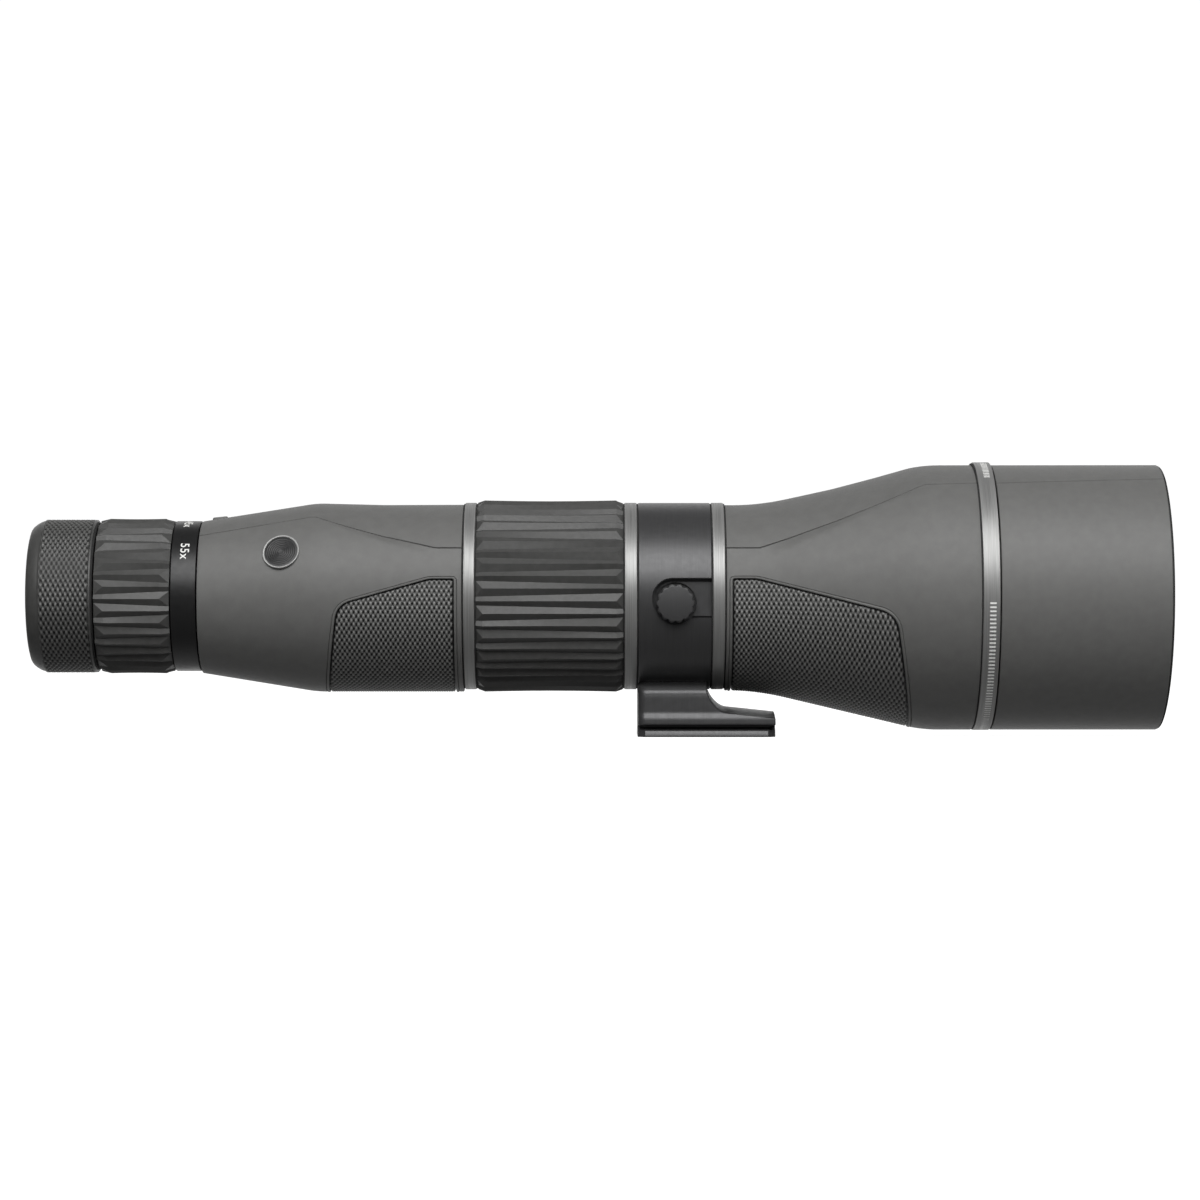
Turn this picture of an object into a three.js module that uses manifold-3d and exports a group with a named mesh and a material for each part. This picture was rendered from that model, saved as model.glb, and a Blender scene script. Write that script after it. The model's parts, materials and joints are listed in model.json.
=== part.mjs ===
// A straight spotting scope with zoom eyepiece, sliding sunshade and rotating tripod collar.
// Millimetres, +Z up. The optical axis runs along X, with the objective at +X and the eyepiece at -X.
// The origin is the centre of the tripod foot's bottom face.

import * as THREE from "three";
import { mergeVertices } from "three/addons/utils/BufferGeometryUtils.js";
import Module from "manifold-3d";

const wasm = await Module();
wasm.setup();

// ---------------------------------------------------------------- driving dimensions

const AXIS_HEIGHT = 49.6; // optical axis above the foot's bottom face
const FIT = 0.3; // gap between pieces that rest on each other
const SEAM = 0.5; // visible gap between outer pieces
const MANY = 32; // facets round a large ring
const SOME = 24; // facets round a ring inside the eyepiece
const FEW = 16; // facets round a seal or a small disc

// Stations along the optical axis, from the eye to the objective.
const EYECUP_REAR = -239;
const EYECUP_RUBBER_FRONT = -218.2;
const EYECUP_FRONT = -215.4;
const ZOOM_GRIP_REAR = -214.8;
const ZOOM_SCALE_REAR = -187.85;
const ZOOM_SCALE_FRONT = -179.05;
const REAR_HOUSING_REAR = -178.55;
const REAR_CONE_FRONT = -137.9;
const REAR_HOUSING_FRONT = -85.75;
const REAR_TRIM_FRONT = -81.35;
const FOCUS_GRIP_REAR = REAR_TRIM_FRONT + SEAM;
const FOCUS_GRIP_FRONT = -29.35;
const COLLAR_REAR = -24.05;
const COLLAR_FRONT = 1.45;
const FRONT_TRIM_FRONT = 6.15;
const FRONT_HOUSING_REAR = FRONT_TRIM_FRONT + SEAM;
const FRONT_HOUSING_FRONT = 94.25;
const OBJECTIVE_TRIM_FRONT = 100.55;
const SUNSHADE_REAR = OBJECTIVE_TRIM_FRONT + SEAM;
const SUNSHADE_FRONT = 160.8;

// Outer radii.
const EYECUP_RADIUS = 27.2;
const ZOOM_GRIP_RADIUS = 27.4;
const ZOOM_SCALE_RADIUS = 26.7;
const REAR_CONE_RADIUS = 27.4;
const REAR_RADIUS = 34;
const TRIM_RADIUS = 33.2;
const FOCUS_GRIP_RADIUS = 34.1;
const COLLAR_RADIUS = 33.15;
const FRONT_NECK_RADIUS = 33.6;
const FRONT_RADIUS = 47.5;
const OBJECTIVE_TRIM_RADIUS = 47.6;

// Walls and bores.
const ARMOR_WALL = 2.2;
const HOUSING_WALL = 2.3;
const TUBE_BORE = 25.5; // bore of the centre tube, where the focus cell slides
const TUBE_RADIUS = 28.9; // centre tube under the focus ring
const COLLAR_SEAT_RADIUS = 27.6; // centre tube under the collar
const BARREL_RADIUS = 44.2; // objective barrel under the sunshade
const EYE_BORE = 18.3; // bore of the eyepiece barrel
const EYE_BARREL_RADIUS = 20;

// Mechanisms.
const FOCUS_LEAD = 12; // cell travel for one turn of the focus ring
const FOCUS_RANGE = [-150, 210]; // degrees
const FOCUS_PIN_X = -56;
const FOCUS_PIN_RADIUS = 1.3;
const ZOOM_RANGE = [-75, 50]; // degrees
const VARIATOR_RATE = 0.07; // millimetres per degree of the zoom ring
const COMPENSATOR_RATE = -0.045;
const VARIATOR_PIN_X = -187.5;
const COMPENSATOR_PIN_X = -206;
const ZOOM_PIN_RADIUS = 1.1;

// Tripod collar, knob and foot.
const FOOT_HALF_LENGTH = 24.2;
const KNOB_X = -11.2;
const KNOB_Z = -2.6; // below the optical axis
const KNOB_RADIUS = 6.9;
const POCKET_FLOOR = 30.7; // distance of the knob pocket's floor from the axis
const POCKET_HALF_WIDTH = 7.6;
const PLUNGER_RADIUS = 2.3;

const PRISM_HALF_APERTURE = 11.5;
const PRISM_FRONT = -98;

// ---------------------------------------------------------------- materials

const finish = (color, roughness, metalness) =>
  new THREE.MeshStandardMaterial({ color, roughness, metalness });

const ARMOR_RUBBER = finish(0x6b6b67, 0.75, 0);
const GRIP_RUBBER = finish(0x3a3a39, 0.8, 0);
const BLACK_RUBBER = finish(0x2a2a2a, 0.7, 0);
const BLACK_METAL = finish(0x2f2f30, 0.4, 0.6);
const BARE_TRIM = finish(0x9a9a98, 0.35, 1);
const TUBE_METAL = finish(0x3c3d3f, 0.5, 0.8);
const MATT_BLACK = finish(0x141414, 0.9, 0.1);
const CAGE_POLYMER = finish(0x1c1c1e, 0.8, 0);
const GRAY_PAINT = finish(0x70706c, 0.55, 0.2);
const STEEL = finish(0xa8a8aa, 0.35, 1);
const NYLON = finish(0xd8d6cc, 0.6, 0);
const LENS = finish(0xbfd4d8, 0.05, 0);

// ---------------------------------------------------------------- shape helpers

// Turns a profile of [x, radius] points about the X axis. A profile that doesn't touch the axis closes on
// itself.
function turned(profile, facets = MANY) {
  const onAxis = profile[0][1] === 0;
  const points = onAxis ? [...profile] : [...profile, profile[0]];
  let area = 0;
  for (let i = 0; i < profile.length; i++) {
    const [x0, r0] = profile[i];
    const [x1, r1] = profile[(i + 1) % profile.length];
    area += r0 * x1 - r1 * x0;
  }
  if (area < 0) points.reverse();
  const geometry = new THREE.LatheGeometry(
    points.map(([x, r]) => new THREE.Vector2(r, x)),
    facets,
  );
  return geometry.rotateZ(-Math.PI / 2);
}

// A plain ring with square corners.
function ring(rear, front, inner, outer, facets = MANY) {
  return turned([[rear, inner], [rear, outer], [front, outer], [front, inner]], facets);
}

// A seal with a diamond section.
function seal(x, radius, halfWidth) {
  const section = [
    [x - halfWidth, radius],
    [x, radius + halfWidth],
    [x + halfWidth, radius],
    [x, radius - halfWidth],
  ];
  return turned(section, SOME);
}

// Points of a spherical lens face from its edge to the axis. A positive bulge points to +X.
function lensFace(edgeX, bulge, radius, steps = 2) {
  const points = [];
  for (let i = 0; i <= steps; i++) {
    const r = radius * (1 - i / steps);
    points.push([edgeX + bulge * (1 - (r / radius) ** 2), r]);
  }
  return points;
}

function lens(rearEdge, rearBulge, frontEdge, frontBulge, radius, facets = FEW) {
  const rear = lensFace(rearEdge, rearBulge, radius).reverse();
  return turned([...rear, ...lensFace(frontEdge, frontBulge, radius)], facets);
}

function box(rear, front, left, right, low, high) {
  return new THREE.BoxGeometry(front - rear, right - left, high - low).translate(
    (rear + front) / 2,
    (left + right) / 2,
    (low + high) / 2,
  );
}

// Two matching blocks, above and below the optical axis, from one distance to another.
function aboveAndBelow(rear, front, halfWidth, inner, outer) {
  return [
    box(rear, front, -halfWidth, halfWidth, inner, outer),
    box(rear, front, -halfWidth, halfWidth, -outer, -inner),
  ];
}

// A round pin that points away from the optical axis, at an angle from the top towards the near side (-Y).
function radialPin(x, angle, from, to, radius, facets = 8) {
  return new THREE.CylinderGeometry(radius, radius, to - from, facets)
    .rotateX(Math.PI / 2)
    .translate(0, 0, (from + to) / 2)
    .rotateX(angle)
    .translate(x, 0, 0);
}

// An outline of [x, z] points drawn in the side view and carried across the part along Y.
function sidePrism(outline, halfWidth) {
  const shape = new THREE.Shape(outline.map(([x, z]) => new THREE.Vector2(x, z)));
  return new THREE.ExtrudeGeometry(shape, { depth: 2 * halfWidth, bevelEnabled: false })
    .rotateX(Math.PI / 2)
    .translate(0, halfWidth, 0);
}

// An outline of [y, z] points drawn in the end view and carried along X.
function endPrism(outline, rear, front) {
  const shape = new THREE.Shape(outline.map(([y, z]) => new THREE.Vector2(y, z)));
  return new THREE.ExtrudeGeometry(shape, { depth: front - rear, bevelEnabled: false })
    .rotateX(Math.PI / 2)
    .rotateZ(Math.PI / 2)
    .translate(rear, 0, 0);
}

// A cutter that follows a helix about the X axis while x changes by rate millimetres per degree.
function helixCutter(pinX, pinAngle, range, rate, width, inner, outer) {
  const margin = 4;
  const low = range[0] - margin;
  const high = range[1] + margin;
  const steps = Math.ceil((high - low) / 15);
  const geometry = new THREE.BoxGeometry(1, width, 1, steps, 1, 1);
  const position = geometry.attributes.position;
  for (let i = 0; i < position.count; i++) {
    const turn = low + (high - low) * (position.getX(i) + 0.5);
    const angle = pinAngle + THREE.MathUtils.degToRad(turn);
    const radius = inner + (outer - inner) * (position.getZ(i) + 0.5);
    position.setXYZ(
      i,
      pinX + rate * turn + position.getY(i),
      -radius * Math.sin(angle),
      radius * Math.cos(angle),
    );
  }
  return geometry;
}

function solidOf(geometry) {
  const bare = geometry.index ? geometry.toNonIndexed() : geometry.clone();
  bare.deleteAttribute("normal");
  bare.deleteAttribute("uv");
  const merged = mergeVertices(bare, 1e-4);
  const solid = new wasm.Manifold(
    new wasm.Mesh({
      numProp: 3,
      vertProperties: merged.attributes.position.array,
      triVerts: new Uint32Array(merged.index.array),
    }),
  );
  if (solid.volume() <= 0) throw new Error("a shape is inside out");
  return solid;
}

function geometryOf(solid) {
  const mesh = solid.getMesh();
  const geometry = new THREE.BufferGeometry();
  geometry.setAttribute("position", new THREE.BufferAttribute(mesh.vertProperties, 3));
  geometry.setIndex(new THREE.BufferAttribute(mesh.triVerts, 1));
  geometry.computeVertexNormals();
  return geometry;
}

function cut(geometry, ...cutters) {
  let solid = solidOf(geometry);
  for (const cutter of cutters) solid = solid.subtract(solidOf(cutter));
  return geometryOf(solid);
}

function join(geometry, ...others) {
  let solid = solidOf(geometry);
  for (const other of others) solid = solid.add(solidOf(other));
  return geometryOf(solid);
}

function common(geometry, ...others) {
  let solid = solidOf(geometry);
  for (const other of others) solid = solid.intersect(solidOf(other));
  return geometryOf(solid);
}

const optics = new THREE.Group(); // everything placed on the optical axis
optics.position.z = AXIS_HEIGHT;
const spottingScope = new THREE.Group();
spottingScope.add(optics);

function piece(name, material, geometry) {
  const mesh = new THREE.Mesh(geometry, material);
  mesh.name = name;
  optics.add(mesh);
}

// ---------------------------------------------------------------- housings and armour

// Outer radius of the front armour: a neck, a straight flare with soft ends, then a cylinder.
const FRONT_OUTLINE = [
  [FRONT_HOUSING_REAR, FRONT_NECK_RADIUS],
  [16, 33.8],
  [22, 34.7],
  [30, 36.5],
  [69.3, 45.8],
  [74, 46.95],
  [79, FRONT_RADIUS],
  [FRONT_HOUSING_FRONT, FRONT_RADIUS],
];

const REAR_OUTLINE = [
  [REAR_HOUSING_REAR, REAR_CONE_RADIUS],
  [REAR_CONE_FRONT, REAR_RADIUS],
  [REAR_HOUSING_FRONT, REAR_RADIUS],
];

// A shell between two depths under an outline.
function shell(outline, top, bottom) {
  const outer = outline.map(([x, r]) => [x, r - top]);
  const inner = outline.map(([x, r]) => [x, r - bottom]).reverse();
  return [...outer, ...inner];
}

// Side outlines of the grip pads, measured from the optical axis. Each pad wraps under the tube.
const REAR_PAD = [
  [-88.5, 5.9],
  [-97, 5.9],
  [-124.9, -1],
  [-127.3, -2.6],
  [-128.9, -4.9],
  [-129.7, -8.4],
  [-133.6, -38],
  [-88.5, -38],
];

const FRONT_PAD = [
  [8.8, 6],
  [17.1, 6],
  [60.2, -5.2],
  [63.4, -6.9],
  [65.6, -9.8],
  [67, -16.6],
  [69.3, -33.8],
  [72.4, -52],
  [8.8, -52],
];

// The window in the armour is the pad's outline moved out by the fit gap.
function widened(outline) {
  const centre = new THREE.Box2().setFromPoints(outline.map(([x, z]) => new THREE.Vector2(x, z)))
    .getCenter(new THREE.Vector2());
  return outline.map(([x, z]) => [x + FIT * Math.sign(x - centre.x), z + (z > -35 ? FIT : 0)]);
}

const PAD_REACH = 60;
const HOUSING_TOP = ARMOR_WALL + FIT;
const HOUSING_BOTTOM = HOUSING_TOP + HOUSING_WALL;

function buildFrontHousing() {
  const armor = turned(shell(FRONT_OUTLINE, 0, ARMOR_WALL));
  piece("front_armor", ARMOR_RUBBER, cut(armor, sidePrism(widened(FRONT_PAD), PAD_REACH)));
  piece("front_grip_pad", GRIP_RUBBER, common(armor, sidePrism(FRONT_PAD, PAD_REACH)));
  const neckBore = COLLAR_SEAT_RADIUS - 0.2 + FIT;
  const outer = FRONT_OUTLINE.map(([x, r]) => [x, r - HOUSING_TOP]);
  const inner = FRONT_OUTLINE.slice(2).map(([x, r]) => [x, r - HOUSING_BOTTOM]).reverse();
  const neck = [[17.5, neckBore], [FRONT_HOUSING_REAR, neckBore]];
  piece("front_housing", TUBE_METAL, turned([...outer, ...inner, ...neck]));
  piece("baffle_front", MATT_BLACK, ring(69, 70.2, 33.5, 40.1, SOME));
  piece("baffle_middle", MATT_BLACK, ring(40, 41.2, 28.5, 33.1, SOME));
}

function buildRearHousing() {
  const armor = turned(shell(REAR_OUTLINE, 0, ARMOR_WALL));
  const badgeSeat = onRearCone(new THREE.CylinderGeometry(6.9, 6.9, 4, FEW), 0.8);
  const indexSeat = box(-175.6, -169.7, -1.8, 1.8, 20, 40);
  piece(
    "rear_armor",
    ARMOR_RUBBER,
    cut(armor, sidePrism(widened(REAR_PAD), PAD_REACH), badgeSeat, indexSeat),
  );
  piece("rear_grip_pad", GRIP_RUBBER, common(armor, sidePrism(REAR_PAD, PAD_REACH)));
  piece("badge", BLACK_METAL, onRearCone(new THREE.CylinderGeometry(6.6, 6.6, 1.2, FEW), -0.3));
  piece("magnification_index", BLACK_METAL, box(-175.3, -170, -1.5, 1.5, 26.9, 29.9));
  const outer = REAR_OUTLINE.map(([x, r]) => [x, r - HOUSING_TOP]);
  const inner = [
    [REAR_HOUSING_FRONT, TUBE_RADIUS + FIT],
    [REAR_CONE_FRONT, TUBE_RADIUS + FIT],
    [-176.2, 23],
    [-176.2, EYE_BARREL_RADIUS + FIT],
    [REAR_HOUSING_REAR, EYE_BARREL_RADIUS + FIT],
  ];
  piece("rear_housing", TUBE_METAL, turned([...outer, ...inner]));
}

// Places a disc made along Y on the rear cone, above the near side, with its face square to the cone.
const BADGE_X = -148.9;
const BADGE_ANGLE = THREE.MathUtils.degToRad(61.6); // from the top towards the near side
function onRearCone(disc, depth) {
  const slope = (REAR_RADIUS - REAR_CONE_RADIUS) / (REAR_CONE_FRONT - REAR_HOUSING_REAR);
  const radius = REAR_CONE_RADIUS + slope * (BADGE_X - REAR_HOUSING_REAR);
  const halfThickness = disc.parameters.height / 2;
  const lift = disc.parameters.height > 2 ? halfThickness - depth - 0.1 : -halfThickness - depth;
  return disc
    .rotateX(Math.PI / 2)
    .translate(0, 0, lift)
    .rotateY(-Math.atan(slope))
    .translate(0, 0, radius)
    .rotateX(BADGE_ANGLE)
    .translate(BADGE_X, 0, 0);
}

// ---------------------------------------------------------------- centre tube, trim rings and seals

function buildCentreTube() {
  const seatRear = COLLAR_REAR - 0.35;
  const groove = (x) => [
    [x - 0.9, TUBE_RADIUS],
    [x - 0.9, TUBE_RADIUS - 1],
    [x + 0.9, TUBE_RADIUS - 1],
    [x + 0.9, TUBE_RADIUS],
  ];
  const tube = turned([
    [-91.5, TUBE_BORE],
    [-91.5, TUBE_RADIUS],
    ...groove(-76),
    ...groove(-34),
    [seatRear, TUBE_RADIUS],
    [seatRear, COLLAR_SEAT_RADIUS],
    [1.7, COLLAR_SEAT_RADIUS],
    [1.7, COLLAR_SEAT_RADIUS - 0.2],
    [16, COLLAR_SEAT_RADIUS - 0.2],
    [16, TUBE_BORE],
  ]);
  const slack = FOCUS_PIN_RADIUS + 0.4;
  const slotRear = FOCUS_PIN_X + (FOCUS_LEAD * FOCUS_RANGE[0]) / 360 - slack;
  const slotFront = FOCUS_PIN_X + (FOCUS_LEAD * FOCUS_RANGE[1]) / 360 + slack;
  const pinSlot = box(slotRear, slotFront, -1.6, 1.6, 20, 32);
  piece("center_tube", TUBE_METAL, cut(tube, pinSlot));
  piece("focus_seal_rear", BLACK_RUBBER, seal(-76, TUBE_RADIUS - 0.2, 0.5));
  piece("focus_seal_front", BLACK_RUBBER, seal(-34, TUBE_RADIUS - 0.2, 0.5));
  const trims = {
    trim_ring_rear: [REAR_HOUSING_FRONT + SEAM, REAR_TRIM_FRONT, TUBE_RADIUS + FIT],
    trim_ring_middle: [FOCUS_GRIP_FRONT + SEAM, COLLAR_REAR - SEAM, TUBE_RADIUS + FIT],
    trim_ring_front: [COLLAR_FRONT + SEAM, FRONT_TRIM_FRONT, COLLAR_SEAT_RADIUS - 0.2 + FIT],
  };
  for (const [name, [rear, front, bore]] of Object.entries(trims)) {
    piece(name, BARE_TRIM, ring(rear, front, bore, TRIM_RADIUS));
  }
}

// ---------------------------------------------------------------- objective and sunshade

function buildObjective() {
  piece(
    "objective_barrel",
    TUBE_METAL,
    turned([
      [82, 40],
      [82, 42],
      [86.9, 42],
      [86.9, 41],
      [89.1, 41],
      [89.1, 42],
      [94.6, 42],
      [94.6, BARREL_RADIUS],
      [137.7, BARREL_RADIUS],
      [137.7, 42.9],
      [141, 42.9],
      [141, 40.9],
      [106.7, 40.9],
      [106.7, 38.6],
      [104.2, 38.6],
      [102.8, 40],
    ]),
  );
  piece("objective_seal_ring", BLACK_RUBBER, seal(88, 41.95, 0.45));
  piece("objective_lens_rear", LENS, lens(107, -1.2, 116.2, -4.3, 40.4, SOME));
  piece("objective_lens_spacer", MATT_BLACK, ring(116.5, 117.2, 39.1, 40.4, SOME));
  piece("objective_lens_front", LENS, lens(117.5, -4, 123.5, 7, 40.4, SOME));
  piece("objective_retaining_ring", MATT_BLACK, ring(124.4, 128, 38.8, 40.5, SOME));
  piece(
    "trim_ring_objective",
    BARE_TRIM,
    ring(FRONT_HOUSING_FRONT + SEAM, OBJECTIVE_TRIM_FRONT, BARREL_RADIUS + FIT, OBJECTIVE_TRIM_RADIUS),
  );
  piece("sunshade_stop_ring", BLACK_METAL, ring(138, 141, 42.9 + FIT, 45.1));
  const shadeBore = 45.4;
  piece(
    "sunshade",
    GRAY_PAINT,
    turned([
      [SUNSHADE_REAR, shadeBore],
      [SUNSHADE_REAR, FRONT_RADIUS],
      [SUNSHADE_FRONT - 0.6, FRONT_RADIUS],
      [SUNSHADE_FRONT, FRONT_RADIUS - 0.5],
      [SUNSHADE_FRONT, FRONT_RADIUS - 2.6],
      [SUNSHADE_FRONT - 0.8, FRONT_RADIUS - 3],
      [SUNSHADE_FRONT - 3, FRONT_RADIUS - 3],
      [SUNSHADE_FRONT - 4.5, shadeBore],
    ]),
  );
  piece("sunshade_guide", BLACK_RUBBER, ring(101.6, 109.4, 44.4, 45.1));
}

// ---------------------------------------------------------------- focus ring and focus cell

function buildFocus() {
  const bevel = 3.2;
  const drop = 1;
  piece(
    "focus_grip",
    GRIP_RUBBER,
    turned([
      [FOCUS_GRIP_REAR, 31.4],
      [FOCUS_GRIP_REAR, FOCUS_GRIP_RADIUS - drop],
      [FOCUS_GRIP_REAR + bevel, FOCUS_GRIP_RADIUS],
      [FOCUS_GRIP_FRONT - bevel, FOCUS_GRIP_RADIUS],
      [FOCUS_GRIP_FRONT, FOCUS_GRIP_RADIUS - drop],
      [FOCUS_GRIP_FRONT, 31.4],
    ]),
  );
  const core = ring(FOCUS_GRIP_REAR + 0.1, FOCUS_GRIP_FRONT - 0.1, 29.4, 31.1);
  const thread = helixCutter(
    FOCUS_PIN_X,
    0,
    FOCUS_RANGE,
    FOCUS_LEAD / 360,
    2 * FOCUS_PIN_RADIUS + 0.6,
    28.8,
    30.65,
  );
  piece("focus_ring_core", BLACK_METAL, cut(core, thread));
  const cell = turned([
    [-62, 22],
    [-62, 25.1],
    [-50, 25.1],
    [-50, 22],
    [-52.7, 22],
    [-52.7, 22.2],
    [-59.3, 22.2],
    [-59.3, 22],
  ]);
  const pinHole = radialPin(FOCUS_PIN_X, 0, 23.2, 27, FOCUS_PIN_RADIUS + 0.2);
  piece("focus_cell", BLACK_METAL, cut(cell, pinHole));
  piece("focus_lens", LENS, lens(-59, 1.6, -53, -1.6, 21.8, SOME));
  piece("focus_drive_pin", STEEL, radialPin(FOCUS_PIN_X, 0, 23.5, 30.25, FOCUS_PIN_RADIUS));
}

// ---------------------------------------------------------------- prisms

function buildPrisms() {
  const a = PRISM_HALF_APERTURE;
  const long = (1 + Math.SQRT2) * a; // length of the light path block along the axis
  const gap = 0.15; // half of the air gap, along X and along Z
  const at = (x, z) => [PRISM_FRONT - x, z];
  const entrance = [
    at(-gap, a - gap),
    at(-gap, -a - gap),
    at(long - gap, -2 * a - gap),
    at(long - gap, -Math.SQRT2 * a - gap),
  ];
  const roofSide = [
    at(gap, a + gap),
    at(long + gap, -Math.SQRT2 * a + gap),
    at(long + gap, 2 * a + gap),
  ];
  piece("prism_entrance", LENS, sidePrism(entrance, a));
  const reach = 60;
  const gable = [[-reach, -reach], [reach, -reach], [0, 0]];
  const roof = endPrism(gable, -reach, reach)
    .rotateY(Math.PI / 8)
    .translate(PRISM_FRONT - long - gap, 0, 2 * a + gap);
  piece("prism_roof", LENS, common(sidePrism(roofSide, a), roof));
  const cavity = box(PRISM_FRONT - long - 0.6, -90, -a - 0.4, a + 0.4, -2 * a - 0.6, 2 * a + 0.6);
  const exitHole = ring(-140, -110, 0, 11, FEW);
  const body = turned([[-128.2, 0], [-128.2, 28.8], [-97.2, 28.8], [-97.2, 0]]);
  piece("prism_cage", CAGE_POLYMER, cut(body, cavity, exitHole));
  piece("prism_clamp", CAGE_POLYMER, ring(-96.9, -94.9, 12.4, 28.5));
}

// ---------------------------------------------------------------- eyepiece and zoom

function buildEyepiece() {
  piece("field_stop", MATT_BLACK, ring(-171.5, -170.2, 11, EYE_BORE - FIT, SOME));
  const barrel = turned(
    [
      [-230.6, EYE_BORE],
      [-230.6, EYE_BARREL_RADIUS],
      [-175.6, EYE_BARREL_RADIUS],
      [-175.6, 22.6],
      [-171, 22.6],
      [-168, EYE_BARREL_RADIUS],
      [-168, EYE_BORE],
      [-221.9, EYE_BORE],
      [-222.6, 16],
      [-224.2, 16],
      [-224.2, EYE_BORE],
    ],
    SOME,
  );
  const slack = ZOOM_PIN_RADIUS + 0.4;
  const slot = (pinX, rate, low, high) => {
    const ends = ZOOM_RANGE.map((turn) => pinX + rate * turn);
    return box(Math.min(...ends) - slack, Math.max(...ends) + slack, -1.4, 1.4, low, high);
  };
  piece(
    "eyepiece_barrel",
    BLACK_METAL,
    cut(
      barrel,
      slot(VARIATOR_PIN_X, VARIATOR_RATE, 10, 30),
      slot(COMPENSATOR_PIN_X, COMPENSATOR_RATE, -30, -10),
      ...aboveAndBelow(-231, -216, 1.2, 19.1, 30),
    ),
  );
  piece("eye_lens", LENS, lens(-227.5, -1.8, -224.5, 1.7, 17, FEW));
  piece("eye_lens_retainer", MATT_BLACK, ring(-230.4, -228.2, 15.8, 18, FEW));
}

function buildZoom() {
  const camRear = -213.5;
  const camFront = -180.2;
  const camRadius = 22;
  const camBore = EYE_BARREL_RADIUS + 0.4;
  const coreRadius = 24.5;
  const slotWidth = 2 * ZOOM_PIN_RADIUS + 0.7;
  const pinTip = camRadius - 0.3;
  const drivePinX = -198;
  const driveAngle = Math.PI / 2;
  const driveHole = radialPin(drivePinX, driveAngle, 19, 26, 1.5);
  piece(
    "zoom_cam_tube",
    TUBE_METAL,
    cut(
      ring(camRear, camFront, camBore, camRadius, SOME),
      helixCutter(VARIATOR_PIN_X, 0, ZOOM_RANGE, VARIATOR_RATE, slotWidth, 19.5, 23.5),
      helixCutter(COMPENSATOR_PIN_X, Math.PI, ZOOM_RANGE, COMPENSATOR_RATE, slotWidth, 19.5, 23.5),
      driveHole,
    ),
  );
  piece(
    "zoom_ring_core",
    BLACK_METAL,
    cut(ring(ZOOM_GRIP_REAR + 0.1, ZOOM_SCALE_REAR - 0.4, camRadius + FIT, coreRadius, SOME), driveHole),
  );
  piece("zoom_drive_pin", STEEL, radialPin(drivePinX, driveAngle, 20.8, 24.2, 1.2));
  piece(
    "zoom_grip",
    GRIP_RUBBER,
    turned([
      [ZOOM_GRIP_REAR, coreRadius + FIT],
      [ZOOM_GRIP_REAR, ZOOM_GRIP_RADIUS - 0.9],
      [ZOOM_GRIP_REAR + 1.6, ZOOM_GRIP_RADIUS - 0.1],
      [ZOOM_SCALE_REAR - SEAM - 1.6, ZOOM_GRIP_RADIUS + 0.2],
      [ZOOM_SCALE_REAR - SEAM, ZOOM_GRIP_RADIUS - 0.5],
      [ZOOM_SCALE_REAR - SEAM, coreRadius + FIT],
    ]),
  );
  piece(
    "magnification_ring",
    BLACK_METAL,
    ring(ZOOM_SCALE_REAR, ZOOM_SCALE_FRONT, camRadius + FIT, ZOOM_SCALE_RADIUS),
  );
  const groups = {
    variator: [VARIATOR_PIN_X, 0],
    compensator: [COMPENSATOR_PIN_X, Math.PI],
  };
  for (const [name, [pinX, angle]] of Object.entries(groups)) {
    const cell = turned(
      [
        [pinX - 4, 14.6],
        [pinX - 4, 17.9],
        [pinX + 4, 17.9],
        [pinX + 4, 14.6],
        [pinX + 2.6, 14.6],
        [pinX + 2.6, 15.2],
        [pinX - 2.6, 15.2],
        [pinX - 2.6, 14.6],
      ],
      SOME,
    );
    const pinHole = radialPin(pinX, angle, 16, 20, ZOOM_PIN_RADIUS + 0.2);
    piece(name + "_cell", BLACK_METAL, cut(cell, pinHole));
    const bulge = name === "variator" ? -0.9 : 1.1;
    piece(name + "_lens", LENS, lens(pinX - 2.3, -bulge, pinX + 2.3, bulge, 14.9, FEW));
    piece(name + "_pin", STEEL, radialPin(pinX, angle, 16.3, pinTip, ZOOM_PIN_RADIUS));
  }
}

function buildEyecup() {
  piece(
    "eyecup_rubber",
    BLACK_RUBBER,
    turned([
      [EYECUP_RUBBER_FRONT, 23.9],
      [EYECUP_RUBBER_FRONT, EYECUP_RADIUS],
      [-232.6, EYECUP_RADIUS],
      [-235.6, 26.5],
      [-237.2, 25.8],
      [-238.5, 24.8],
      [EYECUP_REAR, 23.4],
      [EYECUP_REAR, 22],
      [-238.2, 20.8],
      [-232.4, 18],
      [-231.2, 18],
      [-231.2, 23.9],
    ]),
  );
  piece(
    "eyecup_sleeve",
    BLACK_METAL,
    turned([
      [-230.9, 22],
      [-230.9, 23.6],
      [EYECUP_RUBBER_FRONT + FIT, 23.6],
      [EYECUP_RUBBER_FRONT + FIT, 26.2],
      [EYECUP_FRONT, 26.2],
      [EYECUP_FRONT, 22],
    ]),
  );
  const guide = ring(-226.5, -216.6, 20.4, 21.6, SOME);
  const keys = aboveAndBelow(-226.2, -216.9, 0.9, 19.4, 21);
  piece("eyecup_guide_ring", NYLON, join(guide, ...keys));
}

// ---------------------------------------------------------------- tripod collar, foot and lock knob

// A hole cutter along Y through the near side of the collar.
function nearHole(radius, from, to, facets = FEW) {
  return new THREE.CylinderGeometry(radius, radius, to - from, facets)
    .translate(KNOB_X, -(from + to) / 2, KNOB_Z);
}

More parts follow.
